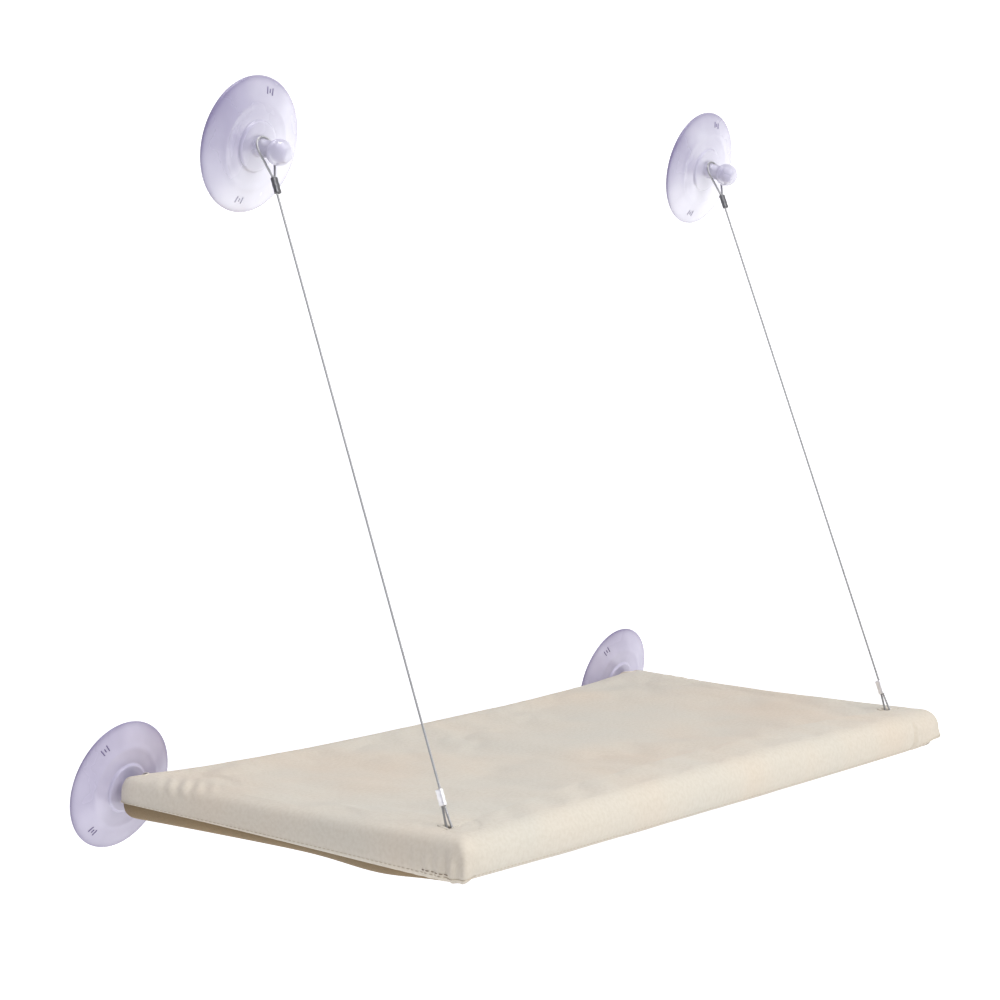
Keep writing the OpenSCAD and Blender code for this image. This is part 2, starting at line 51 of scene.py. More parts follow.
# Sizes that several pieces share, in metres: x to the right, y into the window, z up.
perch = {
    "railX": 0.2756,             # side rails, from the middle
    "halfRun": 0.1256,           # front and rear rails, from the platform's middle
    "edge": 0.0144,              # half thickness of the cover at its edge
    "tiltDeg": 12.0,             # the front is higher than the rear
    "liftDeg": 40.0,
    "rearDip": 0.0062, "frontDip": 0.001, "middleSag": 0.005, "sideDip": 0.002,
    "rearDraw": 0.003, "sideDraw": 0.002, "frontBow": 0.003,
    "hemRear": 0.0026, "hemFront": 0.011,   # how far the hem lies below the middle of the side
    "creaseInset": 0.029, "creaseBow": 0.016,
    "cupX": 0.252, "cupZ": 0.415,           # upper cups
    "ballReach": 0.0255, "neckRadius": 0.0055,
    "pinInset": 0.0135,
}
pivot = Vector(frame["joints"][0]["pos_m"])
platformToRow = Matrix.Translation(pivot) @ Matrix.Rotation(-math.radians(perch["tiltDeg"]), 4, "X")
rowTurn = np.array(platformToRow)[:3, :3]
railX, halfRun, edge = perch["railX"], perch["halfRun"], perch["edge"]
frontY = -2 * halfRun
midY = -halfRun
quarter = edge * math.pi / 2
sides = ((-1, "left"), (1, "right"))


def toRow(points):
    return np.asarray(points, float) @ rowTurn.T + np.array(pivot)


# Camera: solved from the cups, the wires and the platform's corners in the photograph.
camera = {
    "focalPx": 2693.5, "frameWidthPx": 1000,
    "place": (-1.4819, -1.1127, 0.5993),
    "yawDeg": 54.495, "pitchDeg": 12.801, "rollDeg": 10.761,
}


def placeCamera():
    data = bpy.data.cameras.new("photoCamera")
    data.sensor_width = 36
    data.lens = data.sensor_width * camera["focalPx"] / camera["frameWidthPx"]
    data.clip_end = 200
    eye = bpy.data.objects.new("photoCamera", data)
    bpy.context.scene.collection.objects.link(eye)
    yaw, pitch, roll = (math.radians(camera[k]) for k in ("yawDeg", "pitchDeg", "rollDeg"))
    ahead = Vector((math.sin(yaw) * math.cos(pitch), math.cos(yaw) * math.cos(pitch), -math.sin(pitch)))
    right = Vector((math.cos(yaw), -math.sin(yaw), 0))
    up = right.cross(ahead)
    across = right * math.cos(roll) + up * math.sin(roll)
    upward = up * math.cos(roll) - right * math.sin(roll)
    turn = Matrix((across, upward, -ahead)).transposed().to_4x4()
    eye.matrix_world = Matrix.Translation(camera["place"]) @ turn
    bpy.context.scene.camera = eye


studio = {
    "floorZ": -3.2, "floorGlow": 0.66, "sweepTurnDeg": 54.5,
    "sweepWide": 60.0, "sweepNear": -30.0, "sweepFar": 30.0, "sweepBend": 10.0, "sweepHigh": 12.0,
    "worldStrength": 0.74, "brightSide": (0.55, -0.7, -0.45),
    "tones": ((0.12, (0.34, 0.33, 0.40)), (0.62, (1.08, 1.08, 1.08))),
    "keyPlace": (0.15, -1.8, 2.1), "keySize": 1.4, "keyWatts": 27.5,
    "topPlace": (-0.6, -0.3, 2.3), "topSize": 1.8, "topWatts": 25,
}


def areaLight(name, place, size, watts):
    data = bpy.data.lights.new(name, "AREA")
    data.size, data.energy = size, watts
    lamp = bpy.data.objects.new(name, data)
    lamp.location = place
    aim = Vector((0, -0.15, 0.1)) - Vector(place)
    lamp.rotation_euler = aim.to_track_quat("-Z", "Y").to_euler()
    bpy.context.scene.collection.objects.link(lamp)


# Soft surroundings, dimmer above and behind on the left, which the clear cups pick up.
def buildWorld():
    world = bpy.data.worlds.new("studioWorld")
    bpy.context.scene.world = world
    world.use_nodes = True
    tree = world.node_tree
    back = tree.nodes["Background"]
    back.inputs["Strength"].default_value = studio["worldStrength"]
    place = tree.nodes.new("ShaderNodeTexCoord")
    facing = tree.nodes.new("ShaderNodeVectorMath")
    facing.operation = "DOT_PRODUCT"
    facing.inputs[1].default_value = Vector(studio["brightSide"]).normalized()
    tree.links.new(place.outputs["Generated"], facing.inputs[0])
    spread = tree.nodes.new("ShaderNodeMapRange")
    spread.inputs["From Min"].default_value = -1
    tree.links.new(facing.outputs["Value"], spread.inputs["Value"])
    tone = tree.nodes.new("ShaderNodeValToRGB")
    for element, (share, colour) in zip(tone.color_ramp.elements, studio["tones"]):
        element.color, element.position = (*colour, 1), share
    tree.links.new(spread.outputs["Result"], tone.inputs["Fac"])
    tree.links.new(tone.outputs["Color"], back.inputs["Color"])


# Pale floor that bends up into a backdrop a long way behind the perch.
def buildSweep():
    s = studio
    line = [(s["sweepNear"], 0.0)]
    for k in range(13):
        a = math.radians(90 * k / 12)
        line.append((s["sweepFar"] - s["sweepBend"] * (1 - math.sin(a)), s["sweepBend"] * (1 - math.cos(a))))
    line.append((s["sweepFar"], s["sweepHigh"]))
    turn = Matrix.Rotation(-math.radians(s["sweepTurnDeg"]), 4, "Z")
    points, faces = [], []
    for ahead, height in line:
        for across in (-s["sweepWide"], s["sweepWide"]):
            points.append(turn @ Vector((across, ahead, s["floorZ"] + height)))
    for k in range(len(line) - 1):
        faces.append((2 * k, 2 * k + 1, 2 * k + 3, 2 * k + 2))
    mesh = bpy.data.meshes.new("studioFloor")
    mesh.from_pydata(points, [], faces)
    mesh.polygons.foreach_set("use_smooth", [True] * len(faces))
    floor = bpy.data.objects.new("studioFloor", mesh)
    bpy.context.scene.collection.objects.link(floor)
    return floor


def buildStudio():
    buildWorld()
    bpy.context.scene.view_settings.view_transform = "Standard"
    floor = buildSweep()
    paint = bpy.data.materials.new("paleFloor")
    paint.use_nodes = True
    shader = paint.node_tree.nodes["Principled BSDF"]
    shader.inputs["Base Color"].default_value = (0.93, 0.93, 0.93, 1)
    shader.inputs["Roughness"].default_value = 0.9
    shader.inputs["Emission Color"].default_value = (1, 1, 1, 1)
    shader.inputs["Emission Strength"].default_value = studio["floorGlow"]
    floor.data.materials.append(paint)
    areaLight("keyLight", studio["keyPlace"], studio["keySize"], studio["keyWatts"])
    areaLight("topLight", studio["topPlace"], studio["topSize"], studio["topWatts"])


placeCamera()
buildStudio()
print("stage: camera and studio")


# Materials: small helpers, then one function for each kind of finish.
def newFinish(name, colour, roughness, **sockets):
    finish = bpy.data.materials.new(name)
    finish.use_nodes = True
    shader = finish.node_tree.nodes["Principled BSDF"]
    shader.inputs["Base Color"].default_value = (*colour, 1)
    shader.inputs["Roughness"].default_value = roughness
    for socket, value in sockets.items():
        shader.inputs[socket.replace("_", " ")].default_value = value
    return finish, finish.node_tree, shader


def stretched(tree, source, output, scale):
    mapping = tree.nodes.new("ShaderNodeMapping")
    mapping.inputs["Scale"].default_value = scale
    tree.links.new(source.outputs[output], mapping.inputs["Vector"])
    return mapping


def noiseOn(tree, source, output, scale, detail=3.0, roughness=0.5):
    noise = tree.nodes.new("ShaderNodeTexNoise")
    noise.inputs["Scale"].default_value = scale
    noise.inputs["Detail"].default_value = detail
    noise.inputs["Roughness"].default_value = roughness
    tree.links.new(source.outputs[output], noise.inputs["Vector"])
    return noise


def waveOn(tree, source, output, scale, direction, distortion=0.0):
    wave = tree.nodes.new("ShaderNodeTexWave")
    wave.bands_direction = direction
    wave.inputs["Scale"].default_value = scale
    wave.inputs["Distortion"].default_value = distortion
    wave.inputs["Detail Scale"].default_value = 0.4
    tree.links.new(source.outputs[output], wave.inputs["Vector"])
    return wave


def ramp(tree, source, output, stops):
    node = tree.nodes.new("ShaderNodeValToRGB")
    band = node.color_ramp
    while len(band.elements) < len(stops):
        band.elements.new(0.5)
    for element, (place, colour) in zip(band.elements, stops):
        element.position = place
        element.color = (*colour, 1)
    tree.links.new(source.outputs[output], node.inputs["Fac"])
    return node


def grey(value):
    return (value, value, value)


def maths(tree, operation, first, second):
    node = tree.nodes.new("ShaderNodeMath")
    node.operation = operation
    for socket, value in zip(node.inputs, (first, second)):
        if isinstance(value, (int, float)):
            socket.default_value = value
        else:
            tree.links.new(value, socket)
    return node.outputs[0]


def multiplied(tree, first, second):
    mix = tree.nodes.new("ShaderNodeMix")
    mix.data_type, mix.blend_type = "RGBA", "MULTIPLY"
    mix.inputs[0].default_value = 1.0
    tree.links.new(first.outputs["Color"], mix.inputs[6])
    tree.links.new(second.outputs["Color"], mix.inputs[7])
    return mix.outputs[2]


def bumpFrom(tree, shader, height, distance, strength, under=None):
    bump = tree.nodes.new("ShaderNodeBump")
    bump.inputs["Distance"].default_value = distance
    bump.inputs["Strength"].default_value = strength
    tree.links.new(height, bump.inputs["Height"])
    if under is not None:
        tree.links.new(under.outputs["Normal"], bump.inputs["Normal"])
    tree.links.new(bump.outputs["Normal"], shader.inputs["Normal"])
    return bump


weave = {"thread": 0.00062, "depth": 0.00022, "slub": 900, "alongSlub": 45, "slubShare": 0.7,
         "blotch": 6.5, "fleck": 420.0, "crumple": 34.0, "crumpleDepth": 0.0010}


def clothFinish(name, light, warm, cool):
    finish, tree, shader = newFinish(name, light, 0.92, Sheen_Weight=0.12, Sheen_Roughness=0.6,
                                     Specular_IOR_Level=0.2)
    uv = tree.nodes.new("ShaderNodeTexCoord")
    waves = [waveOn(tree, uv, "UV", math.pi / 10 / weave["thread"], d, 0.6) for d in ("X", "Y")]
    checks = tree.nodes.new("ShaderNodeTexChecker")
    checks.inputs["Scale"].default_value = 1 / weave["thread"]
    tree.links.new(uv.outputs["UV"], checks.inputs["Vector"])
    crossing = tree.nodes.new("ShaderNodeMix")
    tree.links.new(checks.outputs["Fac"], crossing.inputs["Factor"])
    tree.links.new(waves[0].outputs["Fac"], crossing.inputs["A"])
    tree.links.new(waves[1].outputs["Fac"], crossing.inputs["B"])
    slubs = []
    for scale in ((weave["alongSlub"], weave["slub"], 1), (weave["slub"], weave["alongSlub"], 1)):
        slubs.append(noiseOn(tree, stretched(tree, uv, "UV", scale), "Vector", 1.0, 2.0))
    slub = maths(tree, "ADD", slubs[0].outputs["Fac"], slubs[1].outputs["Fac"])
    slub = maths(tree, "MULTIPLY", slub, weave["slubShare"])
    height = maths(tree, "ADD", crossing.outputs["Result"], slub)
    patches = noiseOn(tree, uv, "UV", weave["blotch"], 3.0, 0.55)
    tint = ramp(tree, patches, "Fac", ((0.32, cool), (0.5, light), (0.7, warm)))
    specks = noiseOn(tree, uv, "UV", weave["fleck"], 2.0)
    fleck = ramp(tree, specks, "Fac", ((0.3, (0.94, 0.93, 0.91)), (0.62, grey(1))))
    tree.links.new(multiplied(tree, tint, fleck), shader.inputs["Base Color"])
    soft = noiseOn(tree, uv, "UV", weave["crumple"], 4.0, 0.6)
    under = bumpFrom(tree, shader, soft.outputs["Fac"], weave["crumpleDepth"], 0.16)
    bumpFrom(tree, shader, height, weave["depth"], 0.6, under)
    return finish


vinyl = {"cloud": 24.0, "cloudShare": 0.7, "rimPower": 24.0, "rimShare": 0.5,
         "ripple": 70.0, "rippleDepth": 0.0006}


# Soft vinyl, deeper in colour at the rim, where the disc is thicker, with painted shade that darkens each cup
# towards one side.
def vinylFinish(name, clearness, gloss, pale, deep, paintedShadeSide):
    finish, tree, shader = newFinish(name, pale, 0.2, IOR=1.46, Transmission_Weight=clearness,
                                     Specular_IOR_Level=gloss, Coat_Weight=gloss, Coat_Roughness=0.2)
    place = tree.nodes.new("ShaderNodeTexCoord")
    cloud = noiseOn(tree, place, "Object", vinyl["cloud"], 3.0)
    haze = ramp(tree, cloud, "Fac", ((0.15, grey(0.16)), (0.9, grey(0.36))))
    tree.links.new(haze.outputs["Color"], shader.inputs["Roughness"])
    # Painted shade: the tint deepens towards one side of the cup, the side given by the last argument.
    lean = tree.nodes.new("ShaderNodeVectorMath")
    lean.operation = "DOT_PRODUCT"
    lean.inputs[1].default_value = paintedShadeSide
    tree.links.new(place.outputs["UV"], lean.inputs[0])
    reach = tree.nodes.new("ShaderNodeVectorMath")
    reach.operation = "LENGTH"
    tree.links.new(place.outputs["UV"], reach.inputs[0])
    rim = maths(tree, "POWER", reach.outputs["Value"], vinyl["rimPower"])
    rim = maths(tree, "MULTIPLY", rim, vinyl["rimShare"])
    depth = maths(tree, "ADD", rim, lean.outputs["Value"])
    depth = maths(tree, "ADD", depth, maths(tree, "MULTIPLY", cloud.outputs["Fac"], vinyl["cloudShare"]))
    tint = ramp(tree, depth.node, 0, ((0.0, pale), (0.95, deep)))
    tree.links.new(tint.outputs["Color"], shader.inputs["Base Color"])
    ripple = noiseOn(tree, place, "Object", vinyl["ripple"], 2.0)
    bumpFrom(tree, shader, ripple.outputs["Fac"], vinyl["rippleDepth"], 0.12)
    return finish


def steelFinish(name, colour, roughness, across):
    finish, tree, shader = newFinish(name, colour, roughness, Metallic=1.0)
    place = tree.nodes.new("ShaderNodeTexCoord")
    brushed = noiseOn(tree, stretched(tree, place, "Object", across), "Vector", 1.0, 3.0)
    spread = ((0.3, grey(roughness * 0.75)), (0.7, grey(roughness * 1.35)))
    tree.links.new(ramp(tree, brushed, "Fac", spread).outputs["Color"], shader.inputs["Roughness"])
    bumpFrom(tree, shader, brushed.outputs["Fac"], 0.00008, 0.4)
    return finish


def grainFinish(name, dark, light, scale, grain, depth, roughness):
    finish, tree, shader = newFinish(name, light, roughness)
    place = tree.nodes.new("ShaderNodeTexCoord")
    tone = ramp(tree, noiseOn(tree, place, "Object", scale, 3.0), "Fac", ((0.32, dark), (0.68, light)))
    tree.links.new(tone.outputs["Color"], shader.inputs["Base Color"])
    fine = noiseOn(tree, place, "Object", grain, 3.0)
    bumpFrom(tree, shader, fine.outputs["Fac"], depth, 0.5)
    return finish


def foamFinish():
    finish, tree, shader = newFinish("openFoam", (0.86, 0.83, 0.76), 1.0)
    place = tree.nodes.new("ShaderNodeTexCoord")
    cells = tree.nodes.new("ShaderNodeTexVoronoi")
    cells.inputs["Scale"].default_value = 600.0
    tree.links.new(place.outputs["Object"], cells.inputs["Vector"])
    tone = ramp(tree, cells, "Distance", ((0.0, (0.9, 0.87, 0.8)), (0.8, (0.62, 0.58, 0.5))))
    tree.links.new(tone.outputs["Color"], shader.inputs["Base Color"])
    bumpFrom(tree, shader, cells.outputs["Distance"], 0.0006, 0.6)
    return finish


finishes = {
    "canvas": clothFinish("creamCanvas", (0.70, 0.645, 0.55), (0.72, 0.625, 0.51), (0.67, 0.64, 0.56)),
    "lining": clothFinish("oliveLining", (0.27, 0.195, 0.108), (0.29, 0.20, 0.10), (0.24, 0.18, 0.10)),
    # The last tuple of each vinyl finish sets the side that gets painted shade.
    "vinyl": vinylFinish("clearVinyl", 0.28, 0.3, (0.80, 0.79, 0.89), (0.24, 0.21, 0.36), (-0.18, 0.34, 0)),
    # Lower cups: a darker, less clear copy of the same vinyl, painted shade on cups made like the upper ones.
    "shadedLowerCupVinyl": vinylFinish("shadedLowerCupVinyl", 0.08, 0.2, (0.66, 0.63, 0.77), (0.18, 0.15, 0.28),
                               (0.12, 0.02, 0)),
    "wire": steelFinish("steelWire", (0.42, 0.42, 0.43), 0.36, (500, 500, 500)),
    "tube": steelFinish("steelTube", (0.62, 0.63, 0.65), 0.28, (20, 900, 900)),
    "darkCrimp": steelFinish("darkCrimp", (0.16, 0.16, 0.17), 0.40, (300, 300, 300)),
    "brightCrimp": steelFinish("brightCrimp", (0.95, 0.95, 0.97), 0.42, (300, 300, 300)),
    "plastic": grainFinish("cornerPlastic", grey(0.035), grey(0.055), 40.0, 900.0, 0.00012, 0.5),
    "foam": foamFinish(),
    "thread": grainFinish("creamThread", (0.50, 0.43, 0.33), (0.60, 0.53, 0.42), 300.0, 1600.0, 0.0001, 0.75),
    "darkThread": grainFinish("brownThread", (0.20, 0.15, 0.10), (0.30, 0.23, 0.16), 300.0, 1600.0, 0.0001,
                              0.75),
    "tape": grainFinish("closureTape", (0.60, 0.57, 0.50), (0.82, 0.80, 0.74), 1400.0, 1400.0, 0.0008, 0.95),
}
print("stage: finishes")


# Mesh helpers
def newPiece(name, points, faces, finish, uv=None):
    mesh = bpy.data.meshes.new(name)
    mesh.from_pydata(np.asarray(points).tolist(), [], [list(map(int, f)) for f in faces])
    mesh.update()
    if uv is not None:
        layer = mesh.uv_layers.new(name="UVMap")
        corner = np.zeros(len(mesh.loops), int)
        mesh.loops.foreach_get("vertex_index", corner)
        layer.data.foreach_set("uv", np.asarray(uv)[corner].astype(np.float32).ravel())
    mesh.polygons.foreach_set("use_smooth", [True] * len(mesh.polygons))
    mesh.materials.append(finishes[finish])
    piece = bpy.data.objects.new(name, mesh)
    bpy.context.scene.collection.objects.link(piece)
    return piece


def settle(piece, body, slot, *nodes):
    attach(piece, body)
    if nodes:
        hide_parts(*nodes)
    return piece


def gridFaces(rows, cols, aroundRows=False, aroundCols=False, first=0):
    r = np.arange(rows if aroundRows else rows - 1)
    c = np.arange(cols if aroundCols else cols - 1)
    r, c = (g.ravel() for g in np.meshgrid(r, c, indexing="ij"))
    rn, cn = (r + 1) % rows, (c + 1) % cols
    return first + np.stack([r * cols + c, r * cols + cn, rn * cols + cn, rn * cols + c], 1)


def unit(v):
    return v / np.maximum(np.linalg.norm(v, axis=-1, keepdims=True), 1e-12)


def easeShare(s):
    s = np.clip(s, 0, 1)
    return s * s * (3 - 2 * s)


def evenPath(path, step):
    path = np.asarray(path, float)
    along = np.concatenate([[0], np.cumsum(np.linalg.norm(np.diff(path, axis=0), axis=1))])
    marks = np.linspace(0, along[-1], max(2, int(round(along[-1] / step)) + 1))
    return np.stack([np.interp(marks, along, column) for column in path.T], 1), marks


def ringedSolid(rings):
    n, points = len(rings[0]), np.concatenate(rings)
    faces = [tuple(f) for f in gridFaces(len(rings), n, aroundCols=True)]
    last, tips = (len(rings) - 1) * n, len(points)
    points = np.vstack([points, np.mean(rings[0], 0), np.mean(rings[-1], 0)])
    faces += [(tips, (k + 1) % n, k) for k in range(n)]
    faces += [(tips + 1, last + k, last + (k + 1) % n) for k in range(n)]
    return points, faces


def sweptTube(path, radius, sides, closed=False, twist=None, lobes=0, lobeDepth=0.0):
    path = np.asarray(path, float)
    ahead = unit(np.roll(path, -1, 0) - np.roll(path, 1, 0) if closed else np.gradient(path, axis=0))
    side = np.cross(ahead[0], [0, 0, 1.0])
    if np.linalg.norm(side) < 0.1:
        side = np.cross(ahead[0], [1.0, 0, 0])
    turn = np.linspace(0, 2 * math.pi, sides, endpoint=False)
    reach = (radius * (1 - lobeDepth * (0.5 - 0.5 * np.cos(lobes * turn))))[:, None]
    twist = np.zeros(len(path)) if twist is None else twist
    rings = []
    for k in range(len(path)):
        side = unit(side - (side @ ahead[k]) * ahead[k])
        up = np.cross(ahead[k], side)
        angle = (turn + twist[k])[:, None]
        rings.append(path[k] + reach * (np.cos(angle) * side + np.sin(angle) * up))
    if closed:
        return np.concatenate(rings), gridFaces(len(path), sides, aroundRows=True, aroundCols=True)
    return ringedSolid(rings)


def joined(parts):
    points, faces, first = [], [], 0
    for p, f in parts:
        points.append(np.asarray(p))
        faces += [tuple(first + int(i) for i in face) for face in f]
        first += len(p)
    return np.vstack(points), faces


# Suction cups: soft clear vinyl discs with a domed face, a boss, a neck and a ball.
cup = {
    "radius": 0.0425, "seal": 0.007, "lip": 0.0011, "hollow": 0.0032,
    "bossRadius": 0.016, "faceHeight": 0.0068, "bossHeight": 0.0084,
    "neckFillet": 0.0016, "ballRadius": 0.00825, "ballFlat": 0.0011,
    "steps": 128, "faceSteps": 22,
    "ringRadius": 0.0265, "ringHeight": 0.0004, "ringWidth": 0.0022,
    "sealRound": 0.0012, "sealLift": 0.00015, "lipBead": 0.0003, "lipRound": 0.0008,
    "markRadius": 0.0345, "markLength": 0.0042, "markWidth": 0.0007, "markLift": 0.0001, "markTurn": 0.07,
}


def faceHeight(r):
    s = (cup["radius"] - r) / (cup["radius"] - cup["bossRadius"])
    dome = cup["lip"] + (cup["faceHeight"] - cup["lip"]) * math.sin(math.pi / 2 * s)
    return dome + cup["ringHeight"] * math.exp(-((r - cup["ringRadius"]) / cup["ringWidth"]) ** 2)


def cupProfile():
    c, neck, reach = cup, perch["neckRadius"], perch["ballReach"]
    line = []
    for s in np.linspace(0, 1, c["faceSteps"]):      # hollow side, from the middle out
        line.append(((c["radius"] - c["seal"]) * s, c["hollow"] * (1 - s * s)))
    line += [(c["radius"] - c["sealRound"], 0.0), (c["radius"] - 0.0002, c["sealLift"])]
    for a in np.radians(np.linspace(-60, 60, 5)):     # bead of the lip
        line.append((c["radius"] - c["lipBead"] * (1 - math.cos(a)), c["lip"] / 2 * (1 + math.sin(a))))
    for r in np.linspace(c["radius"] - c["lipRound"], c["bossRadius"], c["faceSteps"]):
        line.append((r, faceHeight(r)))
    rise = c["bossHeight"] - c["faceHeight"]
    for a in np.radians(np.linspace(15, 90, 6)):
        line.append((c["bossRadius"] - rise * (1 - math.cos(a)), c["faceHeight"] + rise * math.sin(a)))
    for a in np.radians(np.linspace(0, 90, 7)):
        f = c["neckFillet"]
        line.append((neck + f * (1 - math.sin(a)), c["bossHeight"] + f * (1 - math.cos(a))))
    start = math.asin(neck / c["ballRadius"])
    end = math.acos(1 - c["ballFlat"] / c["ballRadius"])
    for a in np.linspace(math.pi - start, end, 16):
        line.append((c["ballRadius"] * math.sin(a), reach + c["ballRadius"] * math.cos(a)))
    line.append((0.0, reach + c["ballRadius"] - c["ballFlat"]))
    return line


def cupPoint(x, z, r, turn, height):
    return (x + r * math.cos(turn), -height, z + r * math.sin(turn))


# Short raised bars that the mould leaves near the rim.
def mouldMarks(x, z, turnDeg):
    bars = []
    for offset, share in ((-1, 1.0), (0, 0.55), (1, 1.0)):
        turn = math.radians(turnDeg) + offset * cup["markTurn"]
        half = cup["markLength"] * share / 2
        radii = np.linspace(cup["markRadius"] - half, cup["markRadius"] + half, 7)
        path = [cupPoint(x, z, r, turn, faceHeight(r) + cup["markLift"]) for r in radii]
        bars.append(sweptTube(path, cup["markWidth"] / 2, 8))
    return joined(bars)


def buildCup(word, node, x, z, marks, finish):
    line = cupProfile()
    turns = np.linspace(0, 2 * math.pi, cup["steps"], endpoint=False)
    rings = [[cupPoint(x, z, r, t, h) for t in turns] for r, h in line[1:-1]]
    ends = [cupPoint(x, z, 0, 0, line[k][1]) for k in (0, -1)]
    points = np.vstack([ends[0], np.concatenate(rings), ends[1]])
    n, last = cup["steps"], 1 + (len(rings) - 1) * cup["steps"]
    faces = [tuple(f)[::-1] for f in gridFaces(len(rings), n, aroundCols=True, first=1)]
    faces += [(0, 1 + k, 1 + (k + 1) % n) for k in range(n)]
    faces += [(len(points) - 1, last + (k + 1) % n, last + k) for k in range(n)]
    uv = (points[:, ::2] - (x, z)) / cup["radius"]
    settle(newPiece(f"clearCup_{word}", points, faces, finish, uv=uv), "window_side", "clear_vinyl", node)
    points, faces = joined([mouldMarks(x, z, m) for m in marks])
    uv = (points[:, ::2] - (x, z)) / cup["radius"] - (0.6, -0.6)
    settle(newPiece(f"mouldMarks_{word}", points, faces, finish, uv=uv), "window_side", "clear_vinyl")


for side, word in sides:
    x, z = side * perch["cupX"], perch["cupZ"]
    buildCup(f"upper_{word}", f"upper_suction_cup_{word}", x, z, (78, 262), "vinyl")
    buildCup(f"lower_{word}", f"lower_suction_cup_{word}", side * railX, 0, (128, 232), "shadedLowerCupVinyl")
print("stage: suction cups")


# Wires: twisted steel, looped round the upper necks and round the pins in the front corners.
wire = {
    "radius": 0.0008, "headReach": 0.0144, "upperLoop": 0.019, "lowerLoop": 0.027,
    "crimp": 0.010, "crimpWall": 0.0008, "crimpRoom": 0.0001, "strandGap": 0.0001,
    "neckRoom": 0.00025, "pinRadius": 0.002, "pinRoom": 0.0003,
    "layLength": 0.0075, "lobes": 6, "lobeDepth": 0.22, "sides": 24, "step": 0.0009,
    "loopSteps": 40, "dent": 0.00014, "dentPlaces": (0.3, 0.7), "dentRun": 0.09, "mouthRun": 0.06,
    "crimpRings": 25, "crimpSides": 16,
}
strandX = wire["radius"] + wire["strandGap"] / 2


def wireFrame(side):
    pin = Vector((side * (railX - perch["pinInset"]), frontY + perch["pinInset"], 0))
    foot = np.array(platformToRow @ pin)
    head = np.array((side * perch["cupX"], -wire["headReach"], perch["cupZ"]))
    span = np.linalg.norm(head - foot)
    along = (head - foot) / span
    across = unit(np.array((along[2], 0, -along[0])))
    return foot, across, np.cross(along, across), along, span


def loopLine(radius, height):
    lean = math.asin(radius / math.hypot(height, strandX)) - math.atan2(strandX, height)
    arc = [lean - (math.pi + 2 * lean) * k / wire["loopSteps"] for k in range(wire["loopSteps"] + 1)]
    bend = [(radius * math.cos(a), radius * math.sin(a)) for a in arc]
    return [(strandX, height)] + bend + [(-strandX, height)]


def wireRoute(foot, across, outward, along, span):
    slant = math.cos(math.asin(along[1]))
    low = loopLine(wire["pinRadius"] + wire["radius"] + wire["pinRoom"], wire["lowerLoop"])
    high = loopLine(perch["neckRadius"] / slant + wire["radius"] + wire["neckRoom"], wire["upperLoop"])
    tail, top = wire["crimp"] - wire["radius"], span - wire["upperLoop"]
    route = [(0, strandX, wire["lowerLoop"] + tail)]
    route += [(0, p[0], p[1]) for p in low]
    route += [(0, -strandX, wire["lowerLoop"] + wire["crimp"]), (-strandX, 0, top - wire["crimp"])]
    route += [(p[0], 0, span - p[1]) for p in reversed(high)]
    route += [(strandX, 0, top - tail)]
    return foot + np.array([p[0] * across + p[1] * outward + p[2] * along for p in route])


def buildWire(side, word):
    foot, across, outward, along, span = wireFrame(side)
    path, marks = evenPath(wireRoute(foot, across, outward, along, span), wire["step"])
    twist = 2 * math.pi * marks / wire["layLength"]
    points, faces = sweptTube(path, wire["radius"], wire["sides"], twist=twist,
                              lobes=wire["lobes"], lobeDepth=wire["lobeDepth"])
    piece = newPiece(f"steelWire_{word}", points, faces, "wire")
    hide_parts(f"cable_{word}")
    top = foot + along * (span - wire["upperLoop"] - wire["crimp"])
    low = foot + along * wire["lowerLoop"]
    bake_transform(piece)
    upper = crimp(f"crimpUpper_{word}", "darkCrimp", top, across, outward, along)
    settle(upper, "window_side", "dark_ferrule", f"upper_ferrule_{word}")
    lower = crimp(f"crimpLower_{word}", "brightCrimp", low, outward, across, along)
    settle(lower, "platform", "bright_ferrule", f"lower_ferrule_{word}")


def ovalRing(radius, steps):
    turn = np.linspace(-math.pi / 2, math.pi / 2, steps)
    right = np.stack([strandX + radius * np.cos(turn), radius * np.sin(turn)], 1)
    return np.vstack([right, -right])


# Oval sleeve round two strands, rounded at its mouths and pressed in two places.
def crimp(name, finish, start, wide, deep, along):
    inner = wire["radius"] + wire["crimpRoom"]
    outer = inner + wire["crimpWall"]
    rings = []
    for s in np.linspace(0, 1, wire["crimpRings"]):
        press = sum(math.exp(-((s - m) / wire["dentRun"]) ** 2) for m in wire["dentPlaces"])
        ease = min(1, min(s, 1 - s) / wire["mouthRun"])
        rounded = outer * (0.93 + 0.07 * math.sqrt(1 - (1 - ease) ** 2))
        rings.append((s * wire["crimp"], rounded - wire["dent"] * press))
    rings += [(wire["crimp"], inner), (0.0, inner)]
    points = []
    for h, radius in rings:
        oval = ovalRing(radius, wire["crimpSides"])
        points.append(start + oval[:, :1] * wide + oval[:, 1:] * deep + h * along)
    faces = gridFaces(len(rings), len(points[0]), aroundRows=True, aroundCols=True)
    return newPiece(name, np.vstack(points), faces, finish)


for side, word in sides:
    buildWire(side, word)
print("stage: wires and crimps")


